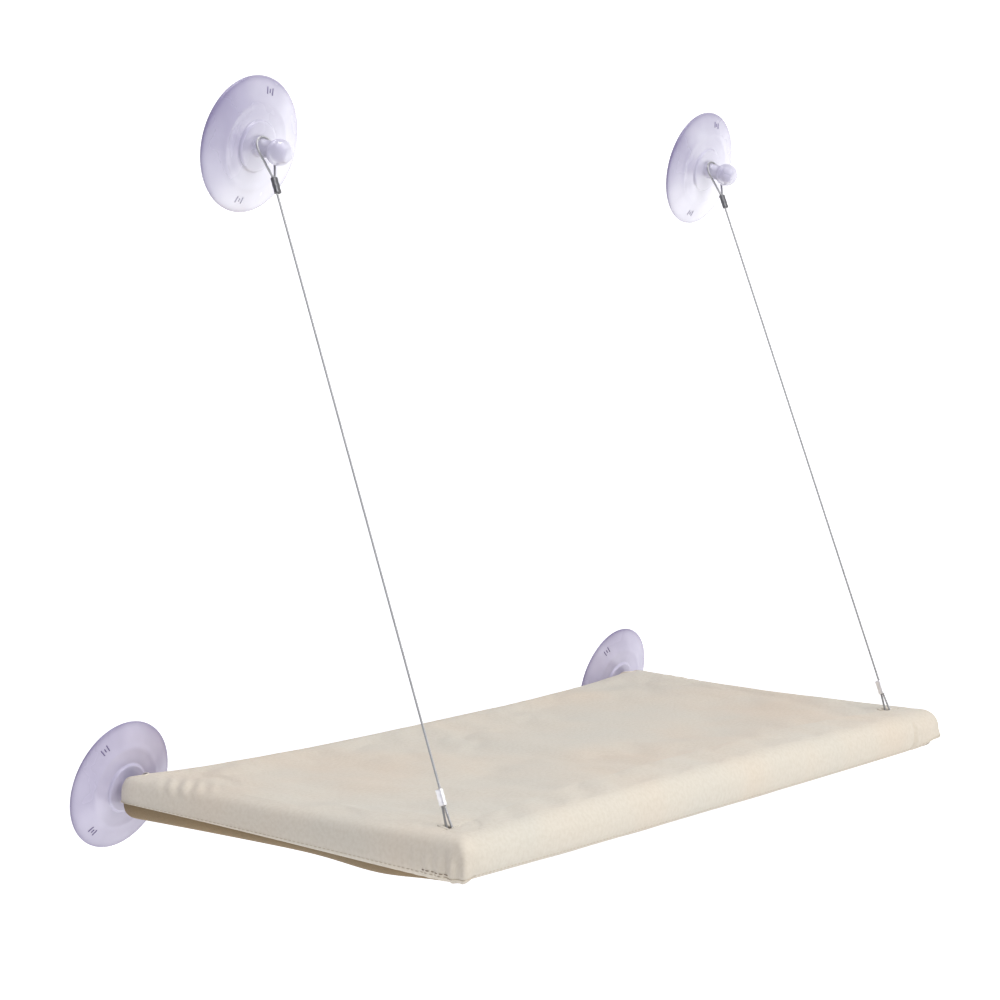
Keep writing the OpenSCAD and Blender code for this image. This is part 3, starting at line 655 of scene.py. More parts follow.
# Cover: one canvas sheet over the top, the front roll and the sides, and a lining below.
cover = {
    "hemRun": 0.008,             # cloth below the middle of the side
    "sectionPower": 3.5, "frontPower": 2.2, "ridgeAt": 0.80, "ridgeStart": 0.6, "ridge": 0.0078,
    "planPower": {"rear": 3.0, "frontLeft": 12.0, "frontRight": 2.2}, "earPower": 2.2,
    "creaseDepth": 0.0028, "creaseRun": 0.007, "endCrease": 0.0016, "endRun": 0.012, "endCreaseWidth": 0.0035,
    "seamDepth": 0.0006, "seamWidth": 0.0010,
    "puckerDepth": 0.0018, "puckerWave": 0.0090, "puckerRun": 0.020,
    "rippleDepth": 0.0007, "ripples": (26, 0.16, 0.03, 11),   # count, longest, shortest, seed
    "seamSpan": 0.004, "seamCalm": 0.7, "heldEdge": 0.006, "looseRun": 0.03,
    "extraCloth": 0.004, "simFrames": 22, "foldLimit": 0.0022, "broadPasses": 90, "broadShare": 0.85,
    "thick": 0.0011, "openingRoom": 0.002,
}
# Grid of the cloth: the usual step, the finer ones, and where these lie from the rails and slits.
clothGrid = {"step": 0.0036, "slitStep": 0.0012, "cornerStep": 0.0016, "wrinkleStep": 0.0020,
             "slitX": 0.006, "slitY": 0.0085, "cornerX": 0.038, "frontY": 0.03,
             "wrinkleY": (0.065, 0.005), "neckY": (0.002, 0.026)}
wrinkle = {"depth": 0.0009, "wave": 0.0115, "slant": 0.8, "back": 0.036, "long": 0.017,
           "out": 0.003, "wide": 0.011, "rightShare": 0.7}
# Front right corner, where the front panel is folded over the side and the side stands off like an ear.
ear = {"fromRail": 0.032, "valleyDepth": 0.0030, "valleyWidth": 0.0015, "bulge": 0.0016, "bulgeAt": 0.014,
       "bulgeRun": 0.010, "slope": 0.026, "rise": 0.0055, "riseRun": 0.080, "riseEnd": 0.03,
       "standOff": 0.0024, "cornerReach": 0.026, "cornerRun": 0.024}
slit = {"length": 0.011, "width": 0.005, "bandWidth": 0.0018, "bandHeight": 0.0006,
        "bandSides": 60, "stitches": 22, "heldReach": 0.005, "looseRun": 0.012}
coverEnd = (railX + quarter + cover["hemRun"], halfRun + quarter + cover["hemRun"])


def depthShare(y):
    return np.clip((y - frontY) / -frontY, 0, 1)


def spanShare(x):
    return 1 - np.minimum(1, np.abs(x) / railX) ** 3


def topDrop(x, y):
    v, s = depthShare(y), spanShare(x)
    dip = perch["frontDip"] + (perch["rearDip"] - perch["frontDip"]) * v
    dip = dip + perch["middleSag"] * 4 * v * (1 - v)
    return s * dip + (1 - s) * perch["sideDip"] * 4 * v * (1 - v)


def creaseBack(x):
    return perch["creaseInset"] - edge + perch["creaseBow"] * spanShare(x)


# Rise of the front roll above the panel, and the crease behind it; back is measured from the front rail.
def rollRise(x, back):
    span, crease = spanShare(x), creaseBack(x)
    share, at, deep = np.clip(back / crease, 0, 1), cover["ridgeAt"], cover["creaseDepth"]
    climb = cover["ridgeStart"] + (1 - cover["ridgeStart"]) * np.sin(math.pi / 2 * np.minimum(share / at, 1))
    over = cover["ridge"] * climb - (cover["ridge"] + deep) * easeShare((share - at) / (1 - at))
    behind = -deep * np.exp(-np.maximum(back - crease, 0) / cover["creaseRun"])
    ends = easeShare((railX - np.abs(x)) / cover["endRun"]) * (1 - span)
    pinch = cover["endCrease"] * ends * np.exp(-((back - crease) / cover["endCreaseWidth"]) ** 2)
    return span * np.where(back < crease, over, behind) - pinch


def hemAngle(y):
    hem = perch["hemFront"] + (perch["hemRear"] - perch["hemFront"]) * depthShare(y)
    return np.arcsin(hem / edge)


def drawnIn(x, y):
    v = np.clip((y - midY) / halfRun, -1, 1)
    u = np.clip(x / railX, -1, 1)
    pull = np.where(v > 0, perch["rearDraw"], perch["frontBow"])
    return x - u * np.abs(u) * perch["sideDraw"] * (1 - v * v), y - v * v * pull * spanShare(x)


def sectionReach(angle, power):
    return (np.abs(np.cos(angle)) ** power + np.abs(np.sin(angle)) ** power) ** (-1 / power)


# Sum of waves in many directions, about -1 to 1.
def ripples(a, b, count, longest, shortest, seed):
    rng = np.random.default_rng(seed)
    total = np.zeros_like(a)
    for _ in range(count):
        wave = shortest * (longest / shortest) ** rng.random()
        turn, phase = rng.random() * math.pi, rng.random() * 2 * math.pi
        along = a * math.cos(turn) + b * math.sin(turn)
        total += np.sin(2 * math.pi * along / wave + phase) * wave / longest
    return total / math.sqrt(count)


# How a place (a, b) of the cloth, from the platform's middle, wraps over the padded frame: its reach past
# the rails, its turn round the corner, and its way round from the corner's seam, negative on the side wall.
def wrap(a, b):
    da, db = np.maximum(np.abs(a) - railX, 0), np.maximum(np.abs(b) - halfRun, 0)
    reach = np.maximum(da, db)
    turn = np.where(da >= db, math.pi / 4 * db / np.maximum(da, 1e-9),
                    math.pi / 2 - math.pi / 4 * da / np.maximum(db, 1e-9))
    turn = np.where(reach > 0, turn, 0)
    walls = np.where(db > da, np.maximum(railX - np.abs(a), 0), -np.maximum(halfRun - np.abs(b), 0))
    return reach, turn, (turn - math.pi / 4) * edge + walls


# 1 at the front right corner, easing to 0 along the front and the side.
def earCorner(a, b):
    along = easeShare((a - railX + ear["cornerReach"]) / ear["cornerRun"])
    return along * easeShare((-b - halfRun + ear["cornerReach"]) / ear["cornerRun"])


def placed(a, b, outward, z, turn):
    power = cover["planPower"]
    power = np.where(b > 0, power["rear"], np.where(a < 0, power["frontLeft"], power["frontRight"]))
    reach = outward * sectionReach(turn, power)
    x = np.clip(a, -railX, railX) + reach * np.cos(turn) * np.sign(a)
    y = midY + np.clip(b, -halfRun, halfRun) + reach * np.sin(turn) * np.sign(b)
    x, y = drawnIn(x, y)
    return np.stack([x, y, z], -1)


# Squareness of the cover's section: softer on the front wall and round at the ear.
def sectionPower(a, b, turn):
    front = easeShare(4 * turn / math.pi - 1) * (b < 0)
    power = cover["sectionPower"] + (cover["frontPower"] - cover["sectionPower"]) * front
    return power + (cover["earPower"] - power) * earCorner(a, b)


def earShares(a, b, reach, around):
    past = ear["fromRail"] + math.pi / 4 * edge - around
    onEar = (a > 0) & (b < 0) & (reach > 0)
    share = easeShare(past / ear["slope"]) * easeShare((ear["riseRun"] - past) / ear["riseEnd"])
    valley = ear["valleyDepth"] * np.exp(-(past / ear["valleyWidth"]) ** 2)
    swell = ear["bulge"] * np.exp(-((past - ear["bulgeAt"]) / ear["bulgeRun"]) ** 2)
    return onEar * share, onEar * (swell - valley)


def topSurface(a, b):
    reach, turn, around = wrap(a, b)
    x = np.clip(a, -railX, railX)
    y = midY + np.clip(b, -halfRun, halfRun)
    hemShare = np.clip((reach - quarter) / cover["hemRun"], 0, 1)
    earShare, earSwell = earShares(a, b, reach, around)
    hem = np.arcsin(np.clip(np.sin(hemAngle(y)) - earShare * ear["rise"] / edge, 0, 1))
    theta = np.minimum(reach, quarter) / edge + hemShare * hem
    q = sectionReach(theta, sectionPower(a, b, turn))
    wall = easeShare((theta - 0.5) / 0.8)
    groove = cover["seamDepth"] * np.exp(-(around / cover["seamWidth"]) ** 2) * ((b < 0) & (reach > 0))
    pucker = np.sin(2 * math.pi * around / cover["puckerWave"]) * np.exp(-np.abs(around) / cover["puckerRun"])
    pucker = cover["puckerDepth"] * pucker * ((a < 0) & (b < 0) & (around < 0))
    outward = edge * q * np.sin(theta) + earShare * ear["standOff"] * hemShare
    outward = outward + wall * earSwell + easeShare((theta - 0.9) / 0.8) * pucker
    outward = outward - easeShare(reach / quarter) * groove
    lift = edge - topDrop(x, y) + rollRise(x, b + halfRun)
    z = np.where(theta < math.pi / 2, lift, edge) * q * np.cos(theta)
    return placed(a, b, outward, z, turn)


# Short slanting wrinkles over the side edges, in front of the openings for the lower cups.
def pulledWrinkles(a, b):
    wave = np.sin(2 * math.pi * (b + wrinkle["slant"] * np.abs(a)) / wrinkle["wave"])
    back = (b - halfRun + wrinkle["back"]) / wrinkle["long"]
    across = (np.abs(a) - railX - wrinkle["out"]) / wrinkle["wide"]
    share = np.where(a < 0, 1.0, wrinkle["rightShare"])
    return wrinkle["depth"] * wave * np.exp(-back ** 2 - across ** 2) * share


# Grid lines across the cloth, closer together in the given stretches.
def clothLines(end, stretches):
    marks = [-end]
    while marks[-1] < end:
        steps = [fine for low, high, fine in stretches if low < marks[-1] < high]
        marks.append(marks[-1] + min(steps, default=clothGrid["step"]))
    return np.interp(marks, [marks[0], marks[-1]], [-end, end])


# Middle of a slit on the cloth, where the wire comes through.
def slitPlace(side):
    rise = rowTurn.T @ wireFrame(side)[3]
    x = side * (railX - perch["pinInset"]) + rise[0] / rise[2] * edge
    y = frontY + perch["pinInset"] + rise[1] / rise[2] * edge
    nearX, nearY = drawnIn(x, y)
    return np.array((2 * x - nearX, 2 * y - nearY - midY))


def slitOffset(a, b, middle):
    run = (slit["length"] - slit["width"]) / 2
    core = np.stack([np.full_like(a, middle[0]), middle[1] + np.clip(b - middle[1], -run, run)], -1)
    away = np.stack([a, b], -1) - core
    return core, away, np.linalg.norm(away, axis=-1)


def vertexNormals(points):
    return unit(np.cross(np.gradient(points, axis=1), np.gradient(points, axis=0)))


def blurred(field, passes):
    for _ in range(passes):
        for axis in (0, 1):
            padded = np.concatenate([np.take(field, [0], axis), field, np.take(field, [-1], axis)], axis)
            n = field.shape[axis]
            field = (np.take(padded, range(n), axis) + 2 * field + np.take(padded, range(2, n + 2), axis)) / 4
    return field


# Lets slightly oversized canvas settle on its frame with a cloth simulation, and returns how it moved.
def settled(points, faces, held):
    temp = newPiece("looseCanvas", points.reshape(-1, 3), faces, "canvas")
    group = temp.vertex_groups.new(name="held")
    for i, weight in enumerate(held.ravel()):
        if weight > 0:
            group.add([i], float(weight), "REPLACE")
    cloth = temp.modifiers.new("Cloth", "CLOTH")
    s = cloth.settings
    s.quality, s.mass = 6, 0.3
    s.tension_stiffness = s.compression_stiffness = 22
    s.shear_stiffness, s.bending_stiffness = 9, 0.8
    s.vertex_group_mass = "held"
    s.shrink_min = -cover["extraCloth"]
    s.effector_weights.gravity = 0
    cloth.point_cache.frame_start, cloth.point_cache.frame_end = 1, cover["simFrames"]
    scene = bpy.context.scene
    for f in range(1, cover["simFrames"] + 1):
        scene.frame_set(f)
    shown = temp.evaluated_get(bpy.context.evaluated_depsgraph_get())
    out = np.zeros(points.size)
    shown.data.vertices.foreach_get("co", out)
    scene.frame_set(1)
    bpy.data.objects.remove(temp)
    return out.reshape(points.shape) - points


# Distance from the swing of a lower cup's neck through its rear corner, in the platform's frame.
def neckOffsets(points):
    across = np.abs(points[:, 0]) - railX
    rho = np.hypot(points[:, 1], points[:, 2])
    angle = np.arctan2(points[:, 2], points[:, 1])
    held = np.clip(angle, math.radians(perch["tiltDeg"]), math.radians(perch["tiltDeg"] + perch["liftDeg"]))
    off = rho * np.sin(np.clip(angle - held, -math.pi / 2, math.pi / 2))
    distance = np.hypot(across, off) - perch["neckRadius"] - cover["openingRoom"]
    distance[(rho > 2 * edge) | (points[:, 1] < 0)] = 1.0
    return across, off, held, rho, distance


def cutAway(faces, gone):
    kept, cut = faces[~gone], faces[gone]
    return kept, np.intersect1d(np.unique(cut), np.unique(kept))


# Opens the cloth for the necks and draws the edge to the outline of their swing.
def openNecks(flat, faces):
    gone = neckOffsets(flat[faces].mean(1))[4] < 0
    kept, rim = cutAway(faces, gone)
    across, off, held, rho, _ = (v[rim] for v in neckOffsets(flat))
    radius = perch["neckRadius"] + cover["openingRoom"]
    scale = radius / np.maximum(np.hypot(across, off), 1e-6)
    angle = held + np.arcsin(np.clip(off * scale / rho, -1, 1))
    flat[rim, 0] = np.sign(flat[rim, 0]) * (railX + across * scale)
    flat[rim, 1] = rho * np.cos(angle)
    flat[rim, 2] = rho * np.sin(angle)
    return flat, kept


def thicken(piece, thick, offset=-1, smooth=True):
    body = piece.modifiers.new("thickness", "SOLIDIFY")
    body.thickness, body.offset = thick, offset
    if smooth:
        fine = piece.modifiers.new("fine", "SUBSURF")
        fine.levels = fine.render_levels = 1


def fabricSheet(name, flat, faces, finish, uv, thick, node, slot):
    piece = newPiece(name, toRow(flat), faces, finish, uv=uv)
    thicken(piece, thick)
    settle(piece, "platform", slot, node)
    return piece


def buildTop():
    slitX, slitB = np.abs(slitPlace(1))
    g = clothGrid
    nearSlit = (slitX - g["slitX"], slitX + g["slitX"], g["slitStep"])
    corner = (railX - g["cornerX"], coverEnd[0], g["cornerStep"])
    mirror = [(-high, -low, step) for low, high, step in (nearSlit, corner)]
    a = clothLines(coverEnd[0], [nearSlit, corner] + mirror)
    b = clothLines(coverEnd[1], [
        (-slitB - g["slitY"], -slitB + g["slitY"], g["slitStep"]),
        (-coverEnd[1], -halfRun + g["frontY"], g["cornerStep"]),
        (halfRun - g["wrinkleY"][0], halfRun - g["wrinkleY"][1], g["wrinkleStep"]),
        (halfRun + g["neckY"][0], halfRun + g["neckY"][1], g["cornerStep"]),
    ])
    A, B = np.meshgrid(a, b)
    faces = gridFaces(len(b), len(a))
    slitGone = np.zeros(len(faces), bool)
    for side in (-1, 1):
        middle = slitPlace(side)
        centres = np.stack([A.ravel()[faces].mean(1), B.ravel()[faces].mean(1)], -1)
        gone = slitOffset(centres[:, 0], centres[:, 1], middle)[2] < slit["width"] / 2
        slitGone |= gone
        rim = cutAway(faces, gone)[1]
        core, away, far = slitOffset(A.ravel()[rim], B.ravel()[rim], middle)
        snapped = core + away * (slit["width"] / 2 / np.maximum(far, 1e-6))[:, None]
        A.ravel()[rim], B.ravel()[rim] = snapped[:, 0], snapped[:, 1]
    points = topSurface(A, B)
    edgeRun = np.minimum(coverEnd[0] - np.abs(A), coverEnd[1] - np.abs(B))
    free = easeShare((edgeRun - cover["heldEdge"]) / cover["looseRun"])
    for side in (-1, 1):
        fromSlit = slitOffset(A, B, slitPlace(side))[2]
        free = free * easeShare((fromSlit - slit["heldReach"]) / slit["looseRun"])
    seam = np.exp(-((B + halfRun - creaseBack(A)) / cover["seamSpan"]) ** 2)
    wave = ripples(A, B, *cover["ripples"])
    relief = cover["rippleDepth"] * wave * free * (1 - cover["seamCalm"] * seam) + pulledWrinkles(A, B)
    points = points + vertexNormals(points) * relief[..., None]
    shift = settled(points, faces, 1 - free * (1 - seam))
    folds = (shift - cover["broadShare"] * blurred(shift, cover["broadPasses"])) * free[..., None]
    size = np.linalg.norm(folds, axis=-1, keepdims=True)
    points = points + folds * np.minimum(1, cover["foldLimit"] / np.maximum(size, 1e-9))
    print("stage: canvas settled, folds of %.1f mm" % (size.max() * 1000))
    flat, kept = openNecks(points.reshape(-1, 3).copy(), faces[~slitGone])
    uv = np.stack([A.ravel(), B.ravel()], 1)
    fabricSheet("canvasCover", flat, kept, "canvas", uv, cover["thick"], "cover_top", "canvas")
    return a, b, points


lineA, lineB, clothPoints = buildTop()
clothNormals = vertexNormals(clothPoints)


# Point and normal of the finished canvas at a place (a, b).
def onCloth(a, b):
    a, b = np.atleast_1d(a).astype(float), np.atleast_1d(b).astype(float)
    col = np.interp(a, lineA, np.arange(len(lineA)))
    row = np.interp(b, lineB, np.arange(len(lineB)))
    c, r = np.minimum(col.astype(int), len(lineA) - 2), np.minimum(row.astype(int), len(lineB) - 2)
    fc, fr = (col - c)[:, None], (row - r)[:, None]
    found = []
    for grid in (clothPoints, clothNormals):
        low = grid[r, c] * (1 - fc) + grid[r, c + 1] * fc
        high = grid[r + 1, c] * (1 - fc) + grid[r + 1, c + 1] * fc
        found.append(low * (1 - fr) + high * fr)
    return found[0], unit(found[1])


print("stage: canvas cover")


# Lining: darker cloth that wraps the underside and tucks in behind the canvas hem.
lining = {"below": 0.0012, "tuck": 0.0024, "tuckDepth": 0.0004, "thick": 0.0006,
          "sag": 0.0036, "sagAt": -0.070, "sagRun": 0.036, "sagFrom": 0.215, "waveDepth": 0.0005,
          "waves": (18, 0.2, 0.05, 5), "earGap": 0.0003, "hang": 0.0010, "hangRun": 0.035,
          "sideStep": 0.0022, "rearStep": 0.0018}
liningEnd = (railX + quarter, halfRun + quarter)


def liningSurface(a, b):
    reach, turn, _ = wrap(a, b)
    y = midY + np.clip(b, -halfRun, halfRun)
    hem = math.pi / 2 - hemAngle(y)
    theta = reach / quarter * (hem + lining["tuck"] / edge)
    tucked = lining["tuckDepth"] * easeShare((theta - hem + 0.06) / 0.09)
    radius = edge - lining["below"] - tucked - lining["earGap"] * earCorner(a, b) * easeShare(theta)
    q = sectionReach(theta, sectionPower(a, b, turn))
    sag = lining["sag"] * np.exp(-((b - lining["sagAt"]) / lining["sagRun"]) ** 2)
    sag = sag * easeShare((np.abs(a) - lining["sagFrom"]) / 0.05) * (1 - easeShare((theta - 0.5) / 0.5))
    wave = lining["waveDepth"] * ripples(a, b, *lining["waves"]) * (1 - easeShare(theta / 0.8))
    inside = np.minimum(railX - np.abs(a), halfRun - np.abs(b))
    hang = lining["hang"] * easeShare(inside / lining["hangRun"])
    return placed(a, b, radius * q * np.sin(theta), -radius * q * np.cos(theta) - sag - hang + wave, turn)


def buildLining():
    corner = (railX - 0.01, liningEnd[0], lining["sideStep"])
    a = clothLines(liningEnd[0], [corner, (-corner[1], -corner[0], corner[2])])
    b = clothLines(liningEnd[1], [
        (halfRun, liningEnd[1], lining["rearStep"]),
        (-liningEnd[1], -halfRun, lining["sideStep"]),
    ])
    A, B = np.meshgrid(a, b)
    flat, kept = openNecks(liningSurface(A, B).reshape(-1, 3), gridFaces(len(b), len(a)))
    uv = np.stack([A.ravel(), B.ravel()], 1)
    fabricSheet("oliveLining", flat, kept[:, ::-1], "lining", uv, lining["thick"], "cover_underside",
                "underside_cloth")


buildLining()
print("stage: lining")


# Stitches: short threads that dip into the cloth at both ends.
stitch = {"pitch": 0.0034, "length": 0.0025, "radius": 0.00028, "height": 0.00012}


def stitches(path, normals, length=stitch["length"], radius=stitch["radius"]):
    ahead = unit(np.gradient(path, axis=0))
    parts = []
    spread = np.linspace(-1, 1, 7)
    turn = np.linspace(0, 2 * math.pi, 6, endpoint=False)
    for centre, along, up in zip(path, ahead, normals):
        side = unit(np.cross(up, along))
        rings = []
        for t in spread:
            lift = stitch["height"] - (stitch["height"] + radius) * t ** 4
            middle = centre + along * t * length / 2 + up * lift
            size = radius * (1 - 0.45 * t * t)
            rings.append(middle + size * (np.cos(turn)[:, None] * side + np.sin(turn)[:, None] * up))
        parts.append(ringedSolid(rings))
    return parts


def stitchPiece(name, parts, finish, slot="canvas"):
    points, faces = joined(parts)
    settle(newPiece(name, toRow(points), faces, finish), "platform", slot)


def stitchRow(places, pitch=stitch["pitch"]):
    places, _ = evenPath(np.asarray(places, float), pitch)
    path, normals = onCloth(places[:, 0], places[:, 1])
    return stitches(path, normals)


def hemPlaces(inset):
    a, b = coverEnd[0] - inset, coverEnd[1] - inset
    return [(-a, b), (-a, -b), (a, -b), (a, b), (-a, b)]


def sewCover():
    x = np.linspace(-railX + 0.004, railX - 0.004, 160)
    crease = np.stack([x, -halfRun + creaseBack(x)], 1)
    slits = [slitPlace(s) for s in (-1, 1)]
    clear = [p for p in crease if min(np.linalg.norm(p - s) for s in slits) > 0.009]
    stitchPiece("hemStitches", stitchRow(hemPlaces(0.0022)), "thread")
    stitchPiece("creaseStitches", stitchRow(clear), "thread")
    tacks = []
    for side in (-1, 1):
        end = side * (coverEnd[0] - 0.0035)
        tacks += stitchRow([(end, -halfRun + 0.016), (end, -halfRun - 0.004)], 0.0036)
    stitchPiece("tackStitches", tacks, "darkThread")


def stadium(middle, margin, count):
    run, r = (slit["length"] - slit["width"]) / 2, slit["width"] / 2 + margin
    turn = np.linspace(0, 2 * math.pi, count, endpoint=False)
    return middle[0] + r * np.cos(turn), middle[1] + r * np.sin(turn) + run * np.sign(np.sin(turn))


# Sewn band round a slit, with stitches across it.
def buildSlitBand(side, word):
    middle, width, height = slitPlace(side), slit["bandWidth"], slit["bandHeight"]
    section = [(-0.0002, -0.0014), (-0.0001, 0.2 * height), (0.2 * width, 0.9 * height)]
    section += [(0.5 * width, height), (0.8 * width, 0.8 * height), (width, 0.0), (width, -0.0006)]
    rings = []
    for margin, lift in section:
        path, normals = onCloth(*stadium(middle, margin, slit["bandSides"]))
        rings.append(path + normals * lift)
    points = toRow(np.concatenate(rings))
    faces = gridFaces(len(rings), slit["bandSides"], aroundCols=True)
    piece = newPiece(f"slitBand_{word}", points, faces, "canvas", uv=points[:, :2])
    thicken(piece, 0.0003, smooth=False)
    settle(piece, "platform", "canvas", f"slit_binding_{word}")
    count = slit["stitches"]
    inner, _ = onCloth(*stadium(middle, 0.3 * width, count))
    outer, normals = onCloth(*stadium(middle, 1.05 * width, count))
    parts = []
    for p, q, n in zip(inner, outer, normals):
        line = np.stack([p, (p + q) / 2, q]) + n * height * 0.8
        parts += stitches(line, np.stack([n] * 3), length=np.linalg.norm(q - p), radius=0.0002)[1:2]
    stitchPiece(f"slitStitches_{word}", parts, "darkThread")


sewCover()
for side, word in sides:
    buildSlitBand(side, word)
print("stage: seams and slits")


# Rolled edge round the opening for a lower cup's neck.
neckEdge = {"radius": 0.0007, "inset": 0.0004, "step": 0.0012, "sides": 12,
            "arcSteps": 16, "straightSteps": 8}


def buildNeckEdge(side, word):
    r, power = perch["neckRadius"] + cover["openingRoom"], cover["planPower"]["rear"]
    low, high = math.radians(perch["tiltDeg"]), math.radians(perch["tiltDeg"] + perch["liftDeg"])
    places = []
    for start, held in ((0, high), (math.pi, low)):
        for t in np.linspace(start, start + math.pi, neckEdge["arcSteps"], endpoint=False):
            places.append((r * math.cos(t), r * math.sin(t), held))
        other = low if held == high else high
        for s in np.linspace(0, 1, neckEdge["straightSteps"], endpoint=False):
            places.append((r * math.cos(start + math.pi), 0.0, held + (other - held) * s))
    path = []
    for across, off, held in places:
        angle = held + math.asin(off / edge)
        past = max(across, 0) / edge
        rho = edge * float(sectionReach(angle, cover["sectionPower"]))
        rho = rho * (1 - past ** power) ** (1 / power) - neckEdge["inset"]
        path.append((side * (railX + across), rho * math.cos(angle), rho * math.sin(angle)))
    path, _ = evenPath(path + path[:1], neckEdge["step"])
    points, faces = sweptTube(toRow(path[:-1]), neckEdge["radius"], neckEdge["sides"], closed=True)
    settle(newPiece(f"neckEdge_{word}", points, faces, "canvas", uv=points[:, ::2]), "platform", "canvas")


for side, word in sides:
    buildNeckEdge(side, word)
print("stage: neck openings")


# Padding: a foam pad between the rails and a foam tube on the front rail.
pad = {"halfX": 0.2617, "halfY": 0.1117, "chamfer": 0.0142, "gap": 0.0042, "floor": -0.0117,
       "count": 260, "floorRings": 8, "topRings": 26, "lump": 0.0006, "lumps": (14, 0.09, 0.03, 23),
       "sideRings": ((0.998, 0.1), (1.004, 0.35), (1.006, 0.6), (1.002, 0.85))}
sleeve = {"outer": 0.0106, "bore": 0.0061, "halfLength": 0.2333, "sides": 48, "step": 0.004, "seed": 31,
          "endRound": 0.002, "endBevel": 0.0006, "rough": 0.0004,
          "cutDepth": 0.0012, "cutTurn": 4.2, "cutWide": 0.07}


def padOutline():
    x, y, c = pad["halfX"], pad["halfY"], pad["chamfer"]
    corners = [(x, -y + c), (x, y - c), (x - c, y), (-x + c, y)]
    corners += [(-x, y - c), (-x, -y + c), (-x + c, -y), (x - c, -y)]
    ring, _ = evenPath(np.array(corners + corners[:1]), 2 * (x + y) * 2 / pad["count"])
    ring = ring[:-1]
    for _ in range(6):
        ring = (np.roll(ring, 1, 0) + 2 * ring + np.roll(ring, -1, 0)) / 4
    return ring


def buildPad():
    ring = padOutline()
    rings = [(s, 0.0) for s in np.linspace(0.03, 0.985, pad["floorRings"])]
    rings += pad["sideRings"]
    rings += [(s, 1.0) for s in np.linspace(0.99, 0.03, pad["topRings"])]
    solid = []
    for s, rise in rings:
        flat = ring * s
        y = flat[:, 1] + midY
        top = edge - topDrop(flat[:, 0], y) + rollRise(flat[:, 0], y - frontY) - pad["gap"]
        lumps = pad["lump"] * ripples(flat[:, 0], flat[:, 1], *pad["lumps"])
        x, y = drawnIn(flat[:, 0], y)
        solid.append(np.stack([x, y, pad["floor"] + (top + lumps - pad["floor"]) * rise], 1))
    points, faces = ringedSolid(solid)
    piece = settle(newPiece("foamPad", toRow(points), faces, "foam"), "platform", "foam", "foam_pad")


def buildSleeve():
    rng = np.random.default_rng(sleeve["seed"])
    ends, r, bore = sleeve["halfLength"], sleeve["outer"], sleeve["bore"]
    cap, bevel = sleeve["endRound"], sleeve["endBevel"]
    xs = np.linspace(-ends + cap, ends - cap, int(2 * ends / sleeve["step"]))
    line = [(-ends, bore), (-ends, r - cap), (-ends + bevel, r - bevel)]
    line += [(x, r) for x in xs] + [(ends - bevel, r - bevel), (ends, r - cap), (ends, bore)]
    line += [(x, bore) for x in xs[::-8]]
    turn = np.linspace(0, 2 * math.pi, sleeve["sides"], endpoint=False)
    points = []
    for x, radius in line:
        soft = radius if radius <= bore else radius - sleeve["rough"] * rng.random(len(turn))
        # Slit along the tube, where it was opened to go on the rail
        cut = sleeve["cutDepth"] * np.exp(-((turn - sleeve["cutTurn"]) / sleeve["cutWide"]) ** 2)
        soft = soft - (radius > bore) * cut
        points.append(np.stack([np.full(len(turn), x), frontY + soft * np.cos(turn), soft * np.sin(turn)], 1))
    faces = gridFaces(len(line), len(turn), aroundRows=True, aroundCols=True)
    piece = newPiece("foamSleeve", toRow(np.concatenate(points)), faces, "foam")
    settle(piece, "platform", "foam", "front_foam_sleeve")


buildPad()
buildSleeve()
print("stage: padding")


# Closure under the platform: two tapes one on the other, and the flap that covers them.
closure = {"halfLength": 0.21, "inset": 0.052, "tapeWidth": 0.020, "tapeThick": 0.0007, "tapePower": 6,
           "tapeRings": 120, "tapeSides": 28, "loopLevel": 0.0148, "hookLevel": 0.0156,
           "flapMargin": 0.007, "flapThick": 0.0009, "flapLevel": 0.0165, "sewnLevel": 0.0149,
           "cols": 150, "rows": 16}


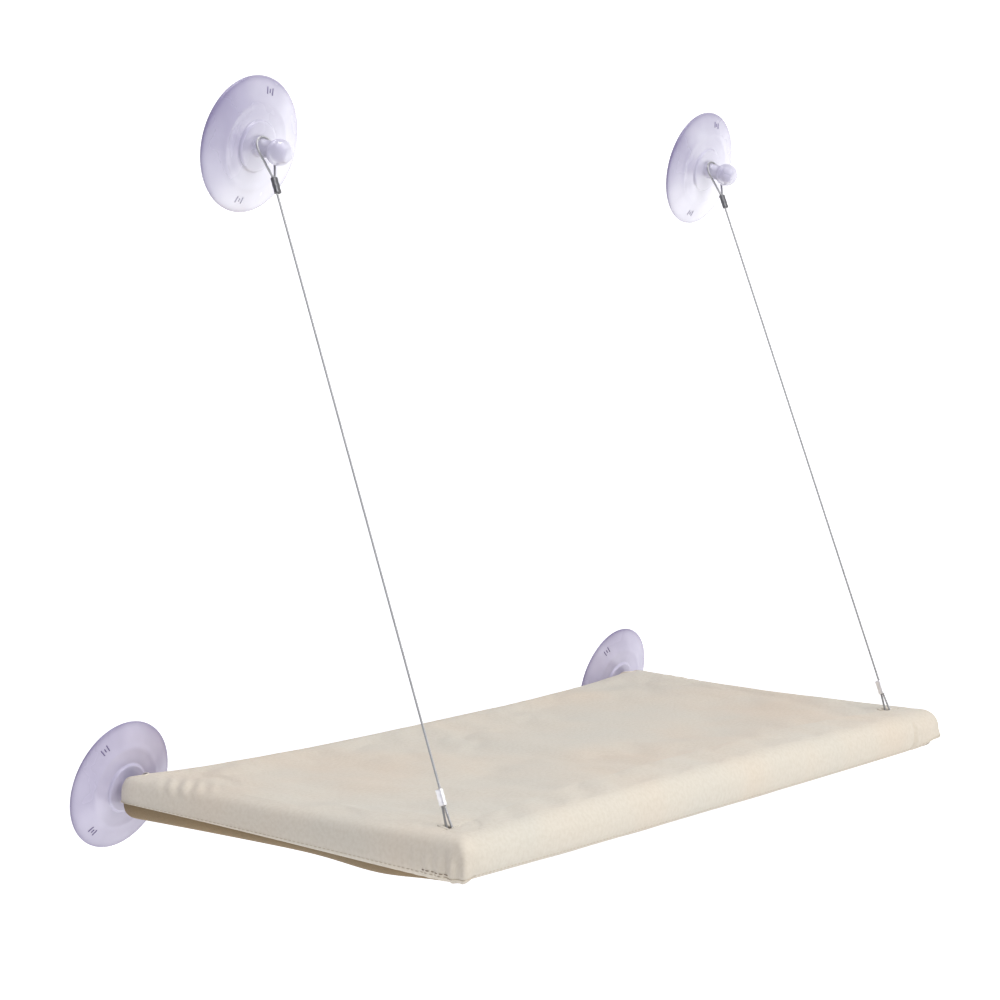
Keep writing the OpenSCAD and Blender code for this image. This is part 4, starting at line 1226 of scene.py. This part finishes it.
def buildTape(name, node, level):
    turn = np.linspace(0, 2 * math.pi, closure["tapeSides"], endpoint=False)
    half, thick = closure["tapeWidth"] / 2, closure["tapeThick"] / 2
    reach = sectionReach(turn, closure["tapePower"])
    rings = []
    for x in np.linspace(-closure["halfLength"], closure["halfLength"], closure["tapeRings"]):
        wander = 0.0003 * math.sin(x * 70) + 0.0002 * math.sin(x * 173 + 1)
        y = -closure["inset"] + wander + half * reach * np.cos(turn)
        z = -level + thick * reach * np.sin(turn) * (1 + 0.12 * np.cos(turn) ** 8)
        rings.append(np.stack([np.full(len(turn), x), y, z], 1))
    points, faces = ringedSolid(rings)
    settle(newPiece(name, toRow(points), faces, "tape"), "platform", "closure_tape", node)


def flapPoint(x, v):
    width = closure["tapeWidth"] + 2 * closure["flapMargin"]
    free = v * v * (0.0003 * np.sin(x * 41) + 0.0002 * np.sin(x * 97 + 2))
    y = -closure["inset"] + width / 2 - width * v + free
    z = -closure["sewnLevel"] - (closure["flapLevel"] - closure["sewnLevel"]) * easeShare((v - 0.08) / 0.2)
    return np.stack([x, y, z + 0.5 * free], -1)


def buildFlap():
    x = np.linspace(-closure["halfLength"], closure["halfLength"], closure["cols"])
    X, V = np.meshgrid(x, np.linspace(0, 1, closure["rows"]))
    points = flapPoint(X, V).reshape(-1, 3)
    width = closure["tapeWidth"] + 2 * closure["flapMargin"]
    uv = np.stack([X.ravel(), V.ravel() * width], 1)
    faces = gridFaces(closure["rows"], closure["cols"])
    piece = newPiece("closureFlap", toRow(points), faces, "lining", uv=uv)
    thicken(piece, closure["flapThick"], offset=0)
    settle(piece, "platform", "underside_cloth", "closure_flap")
    parts = []
    marks = np.arange(-closure["halfLength"] + 0.004, closure["halfLength"] - 0.003, stitch["pitch"])
    for v in (0.04, 0.93):
        path = flapPoint(marks, np.full_like(marks, v)) - np.array([0, 0, closure["flapThick"] / 2])
        parts += stitches(path, np.tile([0, 0, -1.0], (len(marks), 1)))
    stitchPiece("flapStitches", parts, "darkThread", "underside_cloth")


buildTape("loopTape", "loop_strip", closure["loopLevel"])
buildTape("hookTape", "hook_strip", closure["hookLevel"])
buildFlap()
print("stage: closure")

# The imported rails, pins and corners stay as they are and get their finish here.
carried = {
    "tube": ["rear_rail", "front_rail", "left_rail", "right_rail", "cable_pin_left", "cable_pin_right"],
    "plastic": ["rear_left_corner", "rear_right_corner", "front_left_corner", "front_right_corner"],
}
for finish, names in carried.items():
    for name in names:
        mesh = frame["nodes"][name].data
        mesh.materials.clear()
        mesh.materials.append(finishes[finish])
print("stage: frame finishes")
